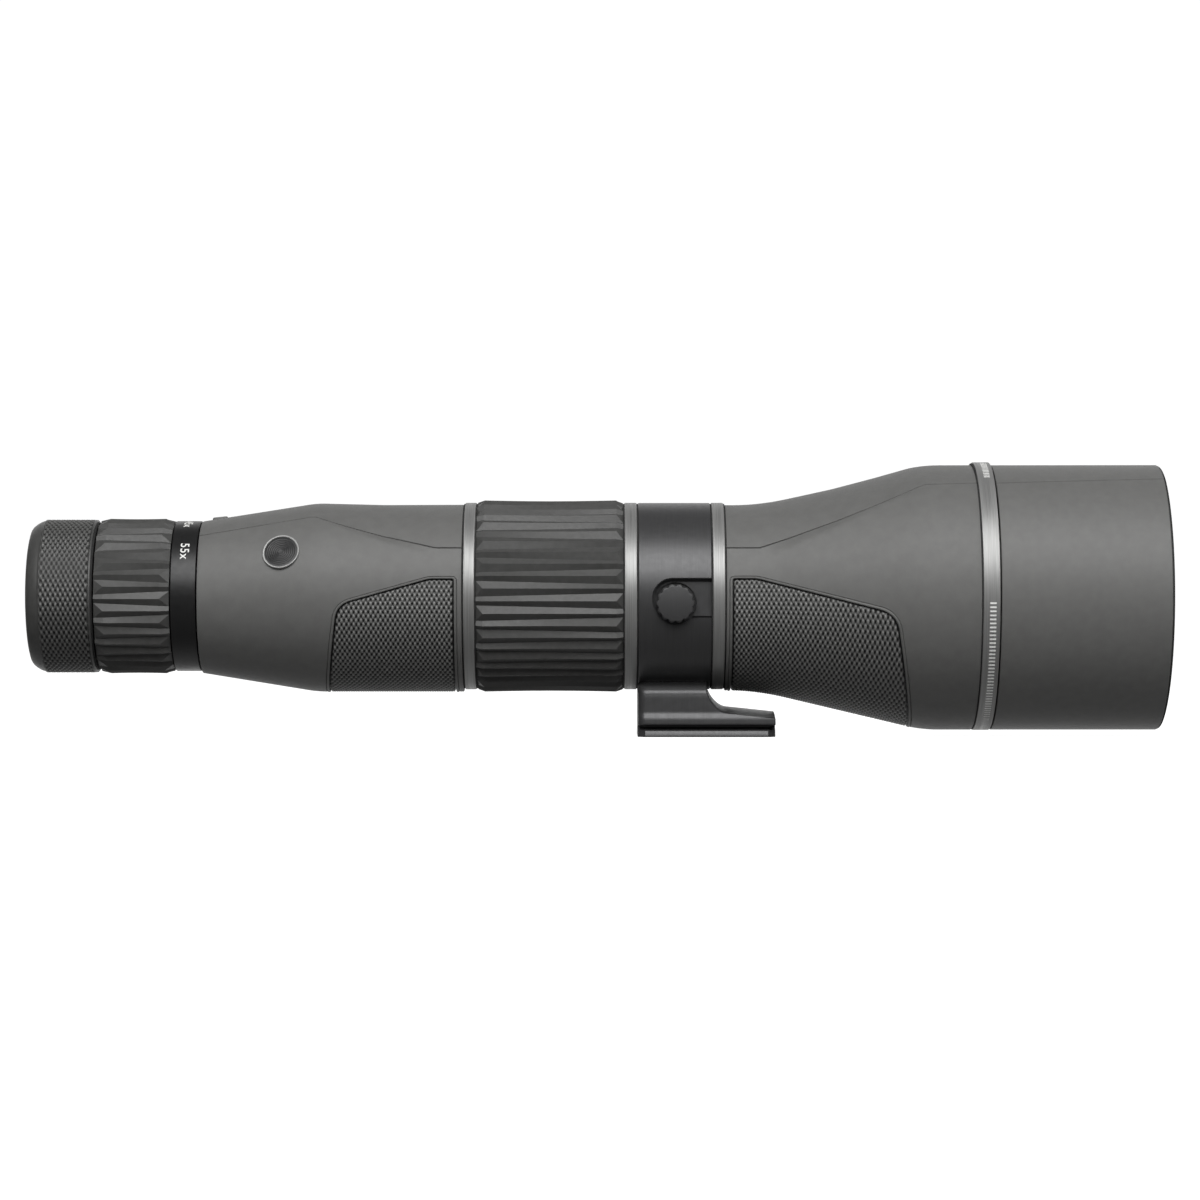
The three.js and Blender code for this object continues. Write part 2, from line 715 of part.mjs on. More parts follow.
function buildCollar() {
  const bore = 28.7;
  const collar = ring(COLLAR_REAR, COLLAR_FRONT, 20, COLLAR_RADIUS);

  // Foot seen from the side: a neck under the collar and a toe that reaches forward.
  const side = new THREE.Shape();
  side.moveTo(-FOOT_HALF_LENGTH, -18);
  side.lineTo(-FOOT_HALF_LENGTH, -AXIS_HEIGHT);
  side.lineTo(FOOT_HALF_LENGTH, -AXIS_HEIGHT);
  side.lineTo(FOOT_HALF_LENGTH, -43.2);
  side.lineTo(8.2, -41.5);
  side.quadraticCurveTo(1.6, -40.6, 0, -33.2);
  side.lineTo(0, -18);
  const sideBlock = new THREE.ExtrudeGeometry(side, { depth: 80, bevelEnabled: false, curveSegments: 4 })
    .rotateX(Math.PI / 2)
    .translate(0, 40, 0);

  // Foot seen from the end: neck, shoulders, base plate, groove and dovetail.
  const half = [
    [13.5, -18],
    [13.5, -30.6],
    [17.6, -32],
    [19.2, -34.6],
    [19.4, -41.4],
    [21.6, -43],
    [21.8, -45.3],
    [15.8, -45.5],
    [15.8, -46.2],
    [19, -48.4],
    [19, -AXIS_HEIGHT],
  ];
  const mirrored = half.map(([y, z]) => [-y, z]).reverse();
  const endBlock = endPrism([...half, ...mirrored], -30, 30);

  // Only the dovetail has cut corners.
  const corner = 2.6;
  const long = FOOT_HALF_LENGTH;
  const wide = 19.1;
  const plan = new THREE.Shape();
  plan.moveTo(-long, -wide + corner);
  plan.lineTo(-long + corner, -wide);
  plan.lineTo(long - corner, -wide);
  plan.lineTo(long, -wide + corner);
  plan.lineTo(long, wide - corner);
  plan.lineTo(long - corner, wide);
  plan.lineTo(-long + corner, wide);
  plan.lineTo(-long, wide - corner);
  const dovetailPlan = new THREE.ExtrudeGeometry(plan, { depth: 4, bevelEnabled: false })
    .translate(0, 0, -AXIS_HEIGHT - 0.2);
  const everythingAbove = box(-30, 30, -30, 30, -46, 0);

  const foot = solidOf(sideBlock)
    .intersect(solidOf(endBlock))
    .intersect(solidOf(dovetailPlan).add(solidOf(everythingAbove)));

  const pocketDepth = 10;
  const pocketRound = nearHole(POCKET_HALF_WIDTH, POCKET_FLOOR, POCKET_FLOOR + pocketDepth);
  const pocketLow = KNOB_Z - POCKET_HALF_WIDTH;
  const pocketHigh = KNOB_Z + POCKET_HALF_WIDTH;
  const pocketOpen = box(
    KNOB_X,
    COLLAR_FRONT + 5,
    -POCKET_FLOOR - pocketDepth,
    -POCKET_FLOOR,
    pocketLow,
    pocketHigh,
  );
  const insertHeight = 6.2;
  const insertHole = (x, radius) =>
    new THREE.CylinderGeometry(radius, radius, 2 * insertHeight + 1, FEW)
      .rotateX(Math.PI / 2)
      .translate(x, 0, -AXIS_HEIGHT);
  const cutters = [
    turned([[-60, 0], [-60, bore], [60, bore], [60, 0]]),
    pocketRound,
    pocketOpen,
    nearHole(PLUNGER_RADIUS + 0.3, 20, 40),
    insertHole(-10, 6.6),
    insertHole(10, 5.1),
  ];
  const casting = geometryOf(solidOf(collar).add(foot));
  piece("tripod_collar", BLACK_METAL, cut(casting, ...cutters));

  piece(
    "collar_liner",
    NYLON,
    cut(
      ring(COLLAR_REAR + 0.2, COLLAR_FRONT - 0.2, COLLAR_SEAT_RADIUS + FIT, bore - FIT),
      nearHole(PLUNGER_RADIUS + 0.3, 20, 40),
    ),
  );

  const insert = (radius, threadRadius) =>
    ring(0.2, insertHeight, threadRadius, radius, FEW)
      .rotateY(-Math.PI / 2)
      .translate(0, 0, -AXIS_HEIGHT);
  piece("tripod_insert_three_eighths", STEEL, insert(6.3, 4.3).translate(-10, 0, 0));
  piece("tripod_insert_quarter", STEEL, insert(4.8, 2.8).translate(10, 0, 0));
}

function buildLockKnob() {
  piece("clamp_shoe", NYLON, nearHole(PLUNGER_RADIUS, 27.75, 29.7));
  piece("clamp_screw", STEEL, nearHole(1.9, 30, 31.4, 8));
  piece("lock_knob", BLACK_METAL, nearHole(KNOB_RADIUS, 31.7, 35.3, 24));
}

buildFrontHousing();
buildRearHousing();
buildCentreTube();
buildObjective();
buildFocus();
buildPrisms();
buildEyepiece();
buildZoom();
buildEyecup();
buildCollar();
buildLockKnob();

export default spottingScope;
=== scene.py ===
"""The looks of a straight spotting scope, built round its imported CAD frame.

Shapes are worked out in millimetres about the optical axis. x runs from the eyepiece to the objective, and
an angle is measured round the axis from the top, positive on the near side (-Y). add_piece and to_frame turn
the millimetres into metres in the part's frame. The camera, the stage and the light are placed in metres.
"""

import json
import math

import bmesh
import bpy
import numpy as np
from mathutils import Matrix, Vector
from mathutils.geometry import delaunay_2d_cdt


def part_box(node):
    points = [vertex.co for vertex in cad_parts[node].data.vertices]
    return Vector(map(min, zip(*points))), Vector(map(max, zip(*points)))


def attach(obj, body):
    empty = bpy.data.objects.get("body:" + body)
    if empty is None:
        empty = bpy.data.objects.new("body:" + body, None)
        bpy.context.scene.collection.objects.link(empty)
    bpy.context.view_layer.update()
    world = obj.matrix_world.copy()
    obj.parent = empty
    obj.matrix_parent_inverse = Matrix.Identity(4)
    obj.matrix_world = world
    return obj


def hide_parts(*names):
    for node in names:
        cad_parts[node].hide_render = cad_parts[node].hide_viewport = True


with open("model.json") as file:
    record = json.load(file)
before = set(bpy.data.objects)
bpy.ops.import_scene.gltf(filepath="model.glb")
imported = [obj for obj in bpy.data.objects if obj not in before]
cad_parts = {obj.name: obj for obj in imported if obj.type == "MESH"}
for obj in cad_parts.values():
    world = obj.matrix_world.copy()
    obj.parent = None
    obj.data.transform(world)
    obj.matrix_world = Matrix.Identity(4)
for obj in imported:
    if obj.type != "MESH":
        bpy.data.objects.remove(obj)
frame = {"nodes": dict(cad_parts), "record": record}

MM = 0.001
PI = math.pi
FACETS = 192  # round a plain turned piece
EDGE = 0.25  # rounding of a turned piece's edges
CORNER_STEPS = 3  # in the curve of a rounded edge
GROOVE_HALF = 0.3  # half width of the fine line along each crease
GROOVE_DEPTH = 0.55

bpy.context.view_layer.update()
SLOT_OF = {entry["node"]: entry["material_slot"] for entry in frame["record"]["subparts"]}
BODY_OF = {
    node: body
    for body, nodes in frame["record"]["behaviour"]["bodies"].items()
    for node in nodes
}


def stations(node):
    """Where a CAD node starts and ends along the optical axis."""
    low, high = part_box(node)
    return low.x / MM, high.x / MM


def radius(node):
    """Outer radius of a turned CAD node, or half the width of another one."""
    low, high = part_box(node)
    return (high.y - low.y) / 2 / MM


def seen_from_side(node):
    """The centre of a CAD node as (x, height over the axis), and half its length."""
    low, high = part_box(node)
    return (low.x + high.x) / 2 / MM, ((low.z + high.z) / 2 - AXIS_Z) / MM, (high.x - low.x) / 2 / MM


AXIS_Z = sum(corner.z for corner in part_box("focus_grip")) / 2


# ---------------------------------------------------------------- camera, stage and light

def make_camera():
    """A level camera straight at the near side, far enough away to look almost flat."""
    distance = 1.47
    seen_width = 0.4272  # at the optical axis
    data = bpy.data.cameras.new("camera")
    data.sensor_width = 36
    data.lens = data.sensor_width * distance / seen_width
    camera = linked(bpy.data.objects.new("camera", data))
    camera.location = (-0.0375, -distance, AXIS_Z - 0.0014)
    camera.rotation_euler = (PI / 2, 0, 0)
    bpy.context.scene.camera = camera


def linked(thing):
    bpy.context.scene.collection.objects.link(thing)
    return thing


def area_light(name, place, aim, width, height, power):
    data = bpy.data.lights.new(name, "AREA")
    data.shape = "RECTANGLE"
    data.size = width
    data.size_y = height
    data.energy = power
    light = linked(bpy.data.objects.new(name, data))
    light.location = place
    light.rotation_euler = (Vector(aim) - Vector(place)).to_track_quat("-Z", "Y").to_euler()


def sky_zone(tree, direction, centre, inner, outer, level):
    """A round patch of the sky, at its level inside the inner angle and fading out to the outer one."""
    nearness = tree.nodes.new("ShaderNodeVectorMath")
    nearness.operation = "DOT_PRODUCT"
    tree.links.new(direction, nearness.inputs[0])
    nearness.inputs[1].default_value = Vector(centre).normalized()
    patch = tree.nodes.new("ShaderNodeMapRange")
    patch.interpolation_type = "SMOOTHSTEP"
    patch.inputs["From Min"].default_value = math.cos(math.radians(outer))
    patch.inputs["From Max"].default_value = math.cos(math.radians(inner))
    patch.inputs["To Max"].default_value = level
    tree.links.new(nearness.outputs["Value"], patch.inputs["Value"])
    return patch.outputs[0]


def add_stage_piece(name, vertices, faces, material):
    """A part of the set that the camera sees, but that throws no light or shade on the object."""
    mesh = bpy.data.meshes.new(name)
    mesh.from_pydata(vertices, [], faces)
    mesh.materials.append(material)
    piece = linked(bpy.data.objects.new(name, mesh))
    piece.visible_diffuse = False
    piece.visible_glossy = False
    piece.visible_shadow = False


def make_stage():
    """A pale floor in a round white studio, soft zones of light in the sky and a soft box above."""
    side, wall_radius, wall_bottom, wall_top, wall_sides = 16, 15, -1, 20, 48
    corners = [(-side, -side, 0), (side, -side, 0), (side, side, 0), (-side, side, 0)]
    add_stage_piece("floor", corners, [(0, 1, 2, 3)], paper_finish("floor", 0.96))
    wall = [
        (wall_radius * math.cos(turn), wall_radius * math.sin(turn), z)
        for z in (wall_bottom, wall_top)
        for turn in full_turn(wall_sides)
    ]
    add_stage_piece("studio_wall", wall, band(0, wall_sides, wall_sides), paper_finish("studio_wall", 1.0))

    world = bpy.data.worlds.new("studio")
    bpy.context.scene.world = world
    world.use_nodes = True
    tree = world.node_tree
    direction = tree.nodes.new("ShaderNodeTexCoord").outputs["Generated"]
    ambient = 0.1
    zones = [
        sky_zone(tree, direction, (0, 1, 0.1), 16, 50, 0.95),  # backdrop
        sky_zone(tree, direction, (0, -0.1, 1), 5, 75, 0.03),  # ceiling
        sky_zone(tree, direction, (0, 0.55, -0.83), 5, 55, 0.34),  # table behind the object
    ]
    total = None
    for zone in zones:
        step = tree.nodes.new("ShaderNodeMath")
        step.operation = "ADD"
        step.inputs[0].default_value = ambient
        if total:
            tree.links.new(total, step.inputs[0])
        tree.links.new(zone, step.inputs[1])
        total = step.outputs[0]
    tree.links.new(total, tree.nodes["Background"].inputs["Strength"])
    tree.nodes["Background"].inputs["Color"].default_value = (1, 1, 1, 1)

    area_light("key_light", place=(0, -1.2, 1.15), aim=(0, 0, AXIS_Z), width=2.4, height=1.1, power=40)


# ---------------------------------------------------------------- materials

NOISE_LOW, NOISE_HIGH = 0.3, 0.7  # a noise pattern stays between these nearly everywhere


class Finish:
    """A principled material whose colour, roughness and bump come from noise in the object's own space."""

    def __init__(self, name):
        self.material = bpy.data.materials.new(name)
        self.material.use_nodes = True
        self.tree = self.material.node_tree
        self.shader = self.tree.nodes["Principled BSDF"]
        self.place = self.node("ShaderNodeTexCoord").outputs["Object"]

    def node(self, kind):
        return self.tree.nodes.new(kind)

    def link(self, source, target):
        self.tree.links.new(source, target)

    def set(self, **sockets):
        for name, value in sockets.items():
            self.shader.inputs[name.replace("_", " ").title().replace("Ior", "IOR")].default_value = value

    def noise(self, scale, detail):
        """Noise in the object's own coordinates, with one scale for all axes or a scale for each."""
        stretch = self.node("ShaderNodeVectorMath")
        stretch.operation = "MULTIPLY"
        self.link(self.place, stretch.inputs[0])
        stretch.inputs[1].default_value = scale if isinstance(scale, tuple) else (scale,) * 3
        texture = self.node("ShaderNodeTexNoise")
        texture.inputs["Scale"].default_value = 1
        texture.inputs["Detail"].default_value = detail
        self.link(stretch.outputs[0], texture.inputs["Vector"])
        return texture.outputs["Fac"]

    def mapped(self, value, low, high, new_low, new_high):
        """Carries a value's range over to another one."""
        spread = self.node("ShaderNodeMapRange")
        limits = {"From Min": low, "From Max": high, "To Min": new_low, "To Max": new_high}
        for name, limit in limits.items():
            spread.inputs[name].default_value = limit
        self.link(value, spread.inputs["Value"])
        return spread.outputs[0]

    def colour(self, pattern, dark, light):
        """Base colour between two tones."""
        ramp = self.node("ShaderNodeValToRGB")
        ramp.color_ramp.elements[0].position = NOISE_LOW
        ramp.color_ramp.elements[1].position = NOISE_HIGH
        ramp.color_ramp.elements[0].color = (*dark, 1)
        ramp.color_ramp.elements[1].color = (*light, 1)
        self.link(pattern, ramp.inputs[0])
        self.link(ramp.outputs[0], self.shader.inputs["Base Color"])

    def paint_pit_shade(self, share):
        """Paints shade into the pits of the bump pattern held as lift, leaving a share of the base colour
        there.
        """
        lift = self.node("ShaderNodeAttribute")
        lift.attribute_name = "lift"
        shade = self.node("ShaderNodeVectorMath")
        shade.operation = "SCALE"
        self.link(self.shader.inputs["Base Color"].links[0].from_socket, shade.inputs[0])
        self.link(self.mapped(lift.outputs["Fac"], 0.15, 0.85, share, 1), shade.inputs["Scale"])
        self.link(shade.outputs[0], self.shader.inputs["Base Color"])

    def roughness(self, pattern, smooth, rough):
        spread = self.mapped(pattern, NOISE_LOW, NOISE_HIGH, smooth, rough)
        self.link(spread, self.shader.inputs["Roughness"])

    def bump(self, pattern, height):
        """Raises the surface by a pattern, with its height in metres."""
        bump = self.node("ShaderNodeBump")
        bump.inputs["Strength"].default_value = 1
        bump.inputs["Distance"].default_value = height
        self.link(pattern, bump.inputs["Height"])
        self.link(bump.outputs[0], self.shader.inputs["Normal"])


def gray(level, blue=0.97):
    """A gray of a level, with a share of it in its blue part."""
    return (level, level, level * blue)


def make_finish(name, tones, tone_noise, shine, shine_noise, grain=None, height=0, pit_shade_share=1.0, **sockets):
    """A material whose colour runs between two tones, and whose roughness between two values of shine.

    Each noise is a (scale, detail). grain is the noise of a bump with its height in metres. pit_shade_share
    is the share of colour left as painted shade in the pits of a bump pattern. The rest are the shader's own
    sockets.
    """
    finish = Finish(name)
    finish.colour(finish.noise(*tone_noise), *tones)
    # shade painted into the pits of a bump pattern
    if pit_shade_share < 1:
        finish.paint_pit_shade(pit_shade_share)
    finish.roughness(finish.noise(*shine_noise), *shine)
    if grain:
        finish.bump(finish.noise(*grain), height)
    finish.set(**sockets)
    return finish.material


def grip_finish(name, level, pit_shade_share=1.0, smooth=0.42):
    """Moulded black rubber with slight wear on its colour, and shade painted into the pits of a bump
    pattern.
    """
    return make_finish(
        name, (gray(level), gray(level * 1.25)), (420, 6), (smooth, smooth + 0.13), (1500, 3),
        (7000, 3), 0.00002, pit_shade_share,
    )


def anodised_finish(name, level, smooth, rough, metallic=0.3):
    """Satin anodised metal with the fine rings that turning leaves."""
    return make_finish(
        name, (gray(level, 1.02), gray(level * 1.12, 1.02)), ((2600, 90, 90), 4),
        (smooth, rough), (600, 4), ((9000, 120, 120), 2), 0.000001, metallic=metallic,
    )


def brushed_finish(name, level, metallic, smooth, rough):
    """Bare turned metal: fine brush lines run round the axis."""
    lines = ((7000, 45, 45), 3)
    return make_finish(
        name, (gray(level * 0.8, 0.985), gray(level * 1.2, 0.985)), lines,
        (smooth, rough), ((3500, 60, 60), 2), lines, 0.00001, metallic=metallic, anisotropic=0.4,
    )


def paper_finish(name, glow):
    """White paper lit from behind, so that it stays white far from the object."""
    return make_finish(
        name, ((0.27, 0.27, 0.27), (0.3, 0.3, 0.3)), (3, 2), (0.85, 0.95), (6, 2),
        emission_color=(1, 1, 1, 1), emission_strength=glow,
    )


# ---------------------------------------------------------------- mesh helpers

def merged_object(name, mesh, distance):
    """A new object of a mesh whose points within a distance are merged and whose faces look outwards."""
    clean = bmesh.new()
    clean.from_mesh(mesh)
    bmesh.ops.remove_doubles(clean, verts=clean.verts, dist=distance)
    bmesh.ops.recalc_face_normals(clean, faces=clean.faces)
    clean.to_mesh(mesh)
    clean.free()
    return linked(bpy.data.objects.new(name, mesh))


def add_piece(name, vertices, faces, material, body, *nodes, sharp=30, lift=None):
    """Makes a piece from millimetre points about the optical axis. It stands for the CAD nodes named last.

    lift is 1 for each point on a bump's top and 0 in a pit. The material paints shade into the pits by it.
    """
    points = np.array(vertices, float) * MM
    points[:, 2] += AXIS_Z
    mesh = bpy.data.meshes.new(name)
    mesh.from_pydata(points.tolist(), [], [list(map(int, face)) for face in faces])
    if lift is not None:
        mesh.attributes.new("lift", "FLOAT", "POINT").data.foreach_set("value", np.array(lift, np.float32))
    piece = merged_object(name, mesh, 2e-7)
    dress(piece, material, body, *nodes, sharp=sharp)
    return piece


def dress(piece, material, body, *nodes, sharp=30):
    """Gives a piece its material, its shading and its place in the frame."""
    mesh = piece.data
    mesh.materials.clear()
    mesh.materials.append(material)
    mesh.shade_smooth()
    mesh.set_sharp_from_angle(angle=math.radians(sharp))
    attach(piece, body)
    if nodes:
        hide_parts(*nodes)


def corner_curve(before, corner, after, reach, steps):
    """A curve that rounds a corner, from a distance before it to the same distance after it."""
    before, corner, after = (np.array(point, float) for point in (before, corner, after))
    start = corner + (before - corner) / np.linalg.norm(before - corner) * reach
    end = corner + (after - corner) / np.linalg.norm(after - corner) * reach
    return [
        tuple((1 - t) ** 2 * start + 2 * t * (1 - t) * corner + t * t * end)
        for t in np.linspace(0, 1, steps + 1)
    ]


def rounded(profile, size=EDGE):
    """Rounds each corner of a closed outline, or as much of it as its short sides allow."""
    result = []
    for i, corner in enumerate(profile):
        before, after = profile[i - 1], profile[(i + 1) % len(profile)]
        reach = min(size, 0.4 * math.dist(before, corner), 0.4 * math.dist(corner, after))
        result += corner_curve(before, corner, after, reach, CORNER_STEPS)
    return result


def rounded_path(points, sizes):
    """An open outline with some of its corners rounded, by the corner's number and size."""
    result = []
    for i, point in enumerate(points):
        if i in sizes:
            result += corner_curve(points[i - 1], point, points[i + 1], sizes[i], 8)
        else:
            result.append(point)
    return result


def round_profile(profile, size=EDGE):
    """Rounds a section for turning. The ends of a section that touches the axis stay as they are."""
    if min(r for _, r in profile) > 1e-6:
        return rounded(profile, size)
    corner = CORNER_STEPS + 1  # points in a rounded corner
    return [profile[0]] + rounded(profile, size)[corner:-corner] + [profile[-1]]


def full_turn(count):
    """Even angles round a circle."""
    return np.linspace(0, 2 * PI, count, endpoint=False)


def at(x, radii, angles):
    """Points at a station, for a radius and an angle from the top each."""
    return np.stack([np.full_like(angles, x), -radii * np.sin(angles), radii * np.cos(angles)], axis=1)


def band(first, second, count, closed=True):
    """Quads between two runs of points, each given by the number of its first point."""
    return [
        (first + i, first + (i + 1) % count, second + (i + 1) % count, second + i)
        for i in range(count if closed else count - 1)
    ]


def rings_mesh(rings, closed_along):
    """Quads between rings of equal length, each a closed circle of points."""
    count = len(rings[0])
    faces = []
    for k in range(len(rings) if closed_along else len(rings) - 1):
        faces += band(k * count, (k + 1) % len(rings) * count, count)
    return np.concatenate(rings), faces


def turned(profile, facets=FACETS):
    """A section of (x, radius) points turned about the optical axis."""
    rings = [at(x, np.full(facets, float(r)), full_turn(facets)) for x, r in profile]
    return rings_mesh(rings, closed_along=min(r for _, r in profile) > 1e-6)


def section(node):
    """The outline of a turned CAD node as (x, radius) points, read from its mesh above the axis."""
    mesh = frame["nodes"][node].data
    links = {}
    for edge in mesh.edges:
        ends = [mesh.vertices[i].co for i in edge.vertices]
        if any(abs(end.y) > 1e-6 or end.z < AXIS_Z - 1e-6 for end in ends):
            continue
        a, b = ((round(end.x / MM, 3), round((end.z - AXIS_Z) / MM, 3)) for end in ends)
        if a != b:
            links.setdefault(a, set()).add(b)
            links.setdefault(b, set()).add(a)
    chain = [min(links, key=lambda point: (len(links[point]), point))]
    while True:
        onward = sorted(point for point in links[chain[-1]] if point not in chain)
        if not onward:
            return chain
        chain.append(onward[0])


def refine(node, material, size=EDGE):
    """Replaces a turned CAD node with a finely turned one whose edges are rounded."""
    vertices, faces = turned(round_profile(section(node), size))
    add_piece(node + "_turned", vertices, faces, material, BODY_OF[node], node)


def inside(points, loop):
    """Which points lie inside a closed loop of points, in the flat."""
    x, y = points[:, 0], points[:, 1]
    result = np.zeros(len(points), bool)
    for (x0, y0), (x1, y1) in zip(loop, np.roll(loop, -1, axis=0)):
        crosses = (y0 > y) != (y1 > y)
        if y0 != y1:
            result ^= crosses & (x < (x1 - x0) * (y - y0) / (y1 - y0) + x0)
    return result


def nearest_on(points, loop):
    """The nearest point of a closed loop for each point, and how far away it is."""
    best = np.full(len(points), np.inf)
    place = np.array(points, float)
    for a, b in zip(loop, np.roll(loop, -1, axis=0)):
        along = b - a
        t = np.clip(((points - a) @ along) / max(along @ along, 1e-12), 0, 1)
        foot = a + t[:, None] * along
        distance = np.linalg.norm(points - foot, axis=1)
        closer = distance < best
        best[closer] = distance[closer]
        place[closer] = foot[closer]
    return place, best


# ---------------------------------------------------------------- armoured housings

class Skin:
    """The outer surface of a housing: round, with a flattened panel along its top that ends at a crease.

    start is the radius at the rear. bends are (x, change of slope, half length) where the silhouette turns.
    crease and facet are lines of (x, height) in the side view. The crease ends the panel, and a narrow facet
    falls from the facet line to it. drop is how far the panel's middle lies under the round, and step how
    far the crease does.
    """

    def __init__(self, start, bends, crease, facet, step, drop):
        self.start, self.bends = start, bends
        self.crease, self.facet = np.array(crease).T, np.array(facet).T
        self.step, self.drop = np.array(step).T, np.array(drop).T

    def round_radius(self, x):
        x = np.asarray(x, float)
        result = np.full_like(x, self.start)
        for bend_x, slope, half in self.bends:
            t = x - bend_x
            curve = np.clip(t + half, 0, 2 * half) ** 2 / (4 * half)
            result += slope * (curve + np.clip(t - half, 0, None))
        return result

    def line_angle(self, line, x):
        return np.arccos(np.clip(np.interp(x, *line) / self.round_radius(x), -1, 1))

    def radius(self, x, angle):
        """Radius at a station and an angle from the top."""
        around = np.abs(angle)
        full = self.round_radius(x)
        edge = self.line_angle(self.crease, x)
        low = np.maximum(self.line_angle(self.facet, x), edge + 1e-4)
        step = np.interp(x, *self.step)
        top = full - np.interp(x, *self.drop)
        side = (full - step) * np.sin(edge)
        rise = top - (full - step) * np.cos(edge)
        arc = (side ** 2 + rise ** 2) / (2 * rise)
        centre = top - arc
        reach = np.minimum(around, edge)
        panel = centre * np.cos(reach) + np.sqrt(arc ** 2 - (centre * np.sin(reach)) ** 2)
        flank = full - step * np.clip((low - around) / (low - edge), 0, 1)
        groove = GROOVE_DEPTH * np.clip(1 - np.abs(around - edge) * full / GROOVE_HALF, 0, None)
        return np.where(around < edge, panel, flank) - groove


UNROLL = 40.0  # millimetres of unrolled width for each radian round the tube


def unrolled_loop(outline, skin, spacing=0.6):
    """Carries a pad's side-view outline onto the skin and round to the far side.

    The outline starts and ends under the tube. The loop's points are (x, distance round from the bottom).
    """
    corners = np.array(outline, float)
    samples = 4000  # between two corners
    dense = np.concatenate([np.linspace(a, b, samples) for a, b in zip(corners[:-1], corners[1:])])
    dense = dense[dense[:, 1] > -skin.round_radius(dense[:, 0])]
    full = skin.round_radius(dense[:, 0])
    near = np.stack([dense[:, 0], np.arccos(-dense[:, 1] / full) * UNROLL], axis=1)
    length = np.concatenate([[0], np.cumsum(np.linalg.norm(np.diff(near, axis=0), axis=1))])
    even = np.linspace(0, length[-1], round(length[-1] / spacing))
    near = np.stack([np.interp(even, length, near[:, k]) for k in (0, 1)], axis=1)
    far = near[::-1] * (1, -1)
    return np.concatenate([near, far])


def moved_out(loop, distance):
    """The loop, moved outwards by a distance."""
    tangent = np.roll(loop, -1, axis=0) - np.roll(loop, 1, axis=0)
    normal = np.stack([tangent[:, 1], -tangent[:, 0]], axis=1)
    normal /= np.linalg.norm(normal, axis=1)[:, None]
    area = np.sum(loop[:, 0] * np.roll(loop[:, 1], -1) - np.roll(loop[:, 0], -1) * loop[:, 1])
    return loop + normal * distance * np.sign(area)


def rolled(points, skin, depth=0.0):
    """Unrolled points laid on the skin, lowered by a depth."""
    angle = PI - np.abs(points[:, 1]) / UNROLL
    side = np.sign(points[:, 1] + 1e-12)
    radii = skin.radius(points[:, 0], angle) - depth
    return np.stack([points[:, 0], -side * radii * np.sin(angle), radii * np.cos(angle)], axis=1)


def flat_mesh(points, chains):
    """Triangulates points in the flat so that every chain of points becomes a line of edges."""
    coordinates = [Vector(point) for point in points]
    edges = []
    for chain, closed in chains:
        first = len(coordinates)
        coordinates += [Vector(point) for point in chain]
        edges += [(first + i, first + i + 1) for i in range(len(chain) - 1)]
        if closed:
            edges.append((first + len(chain) - 1, first))
    vertices, _, faces, *_ = delaunay_2d_cdt(coordinates, edges, [], 0, 1e-5)
    return np.array([tuple(v) for v in vertices]), [tuple(face) for face in faces]


# The border round each pad, as (distance from its edge, depth under the skin): a raised lip, then a groove.
BORDER = [
    (0.12, 0.05), (0.22, -0.1), (0.34, -0.16), (0.72, -0.16),
    (0.88, -0.06), (0.95, 0.0), (1.1, 0.32), (1.26, 0.0),
]
ARMOR_WALL = 2.0  # thickness of the rubber
END_ROUND = 0.35  # rounding of a shell's two ends


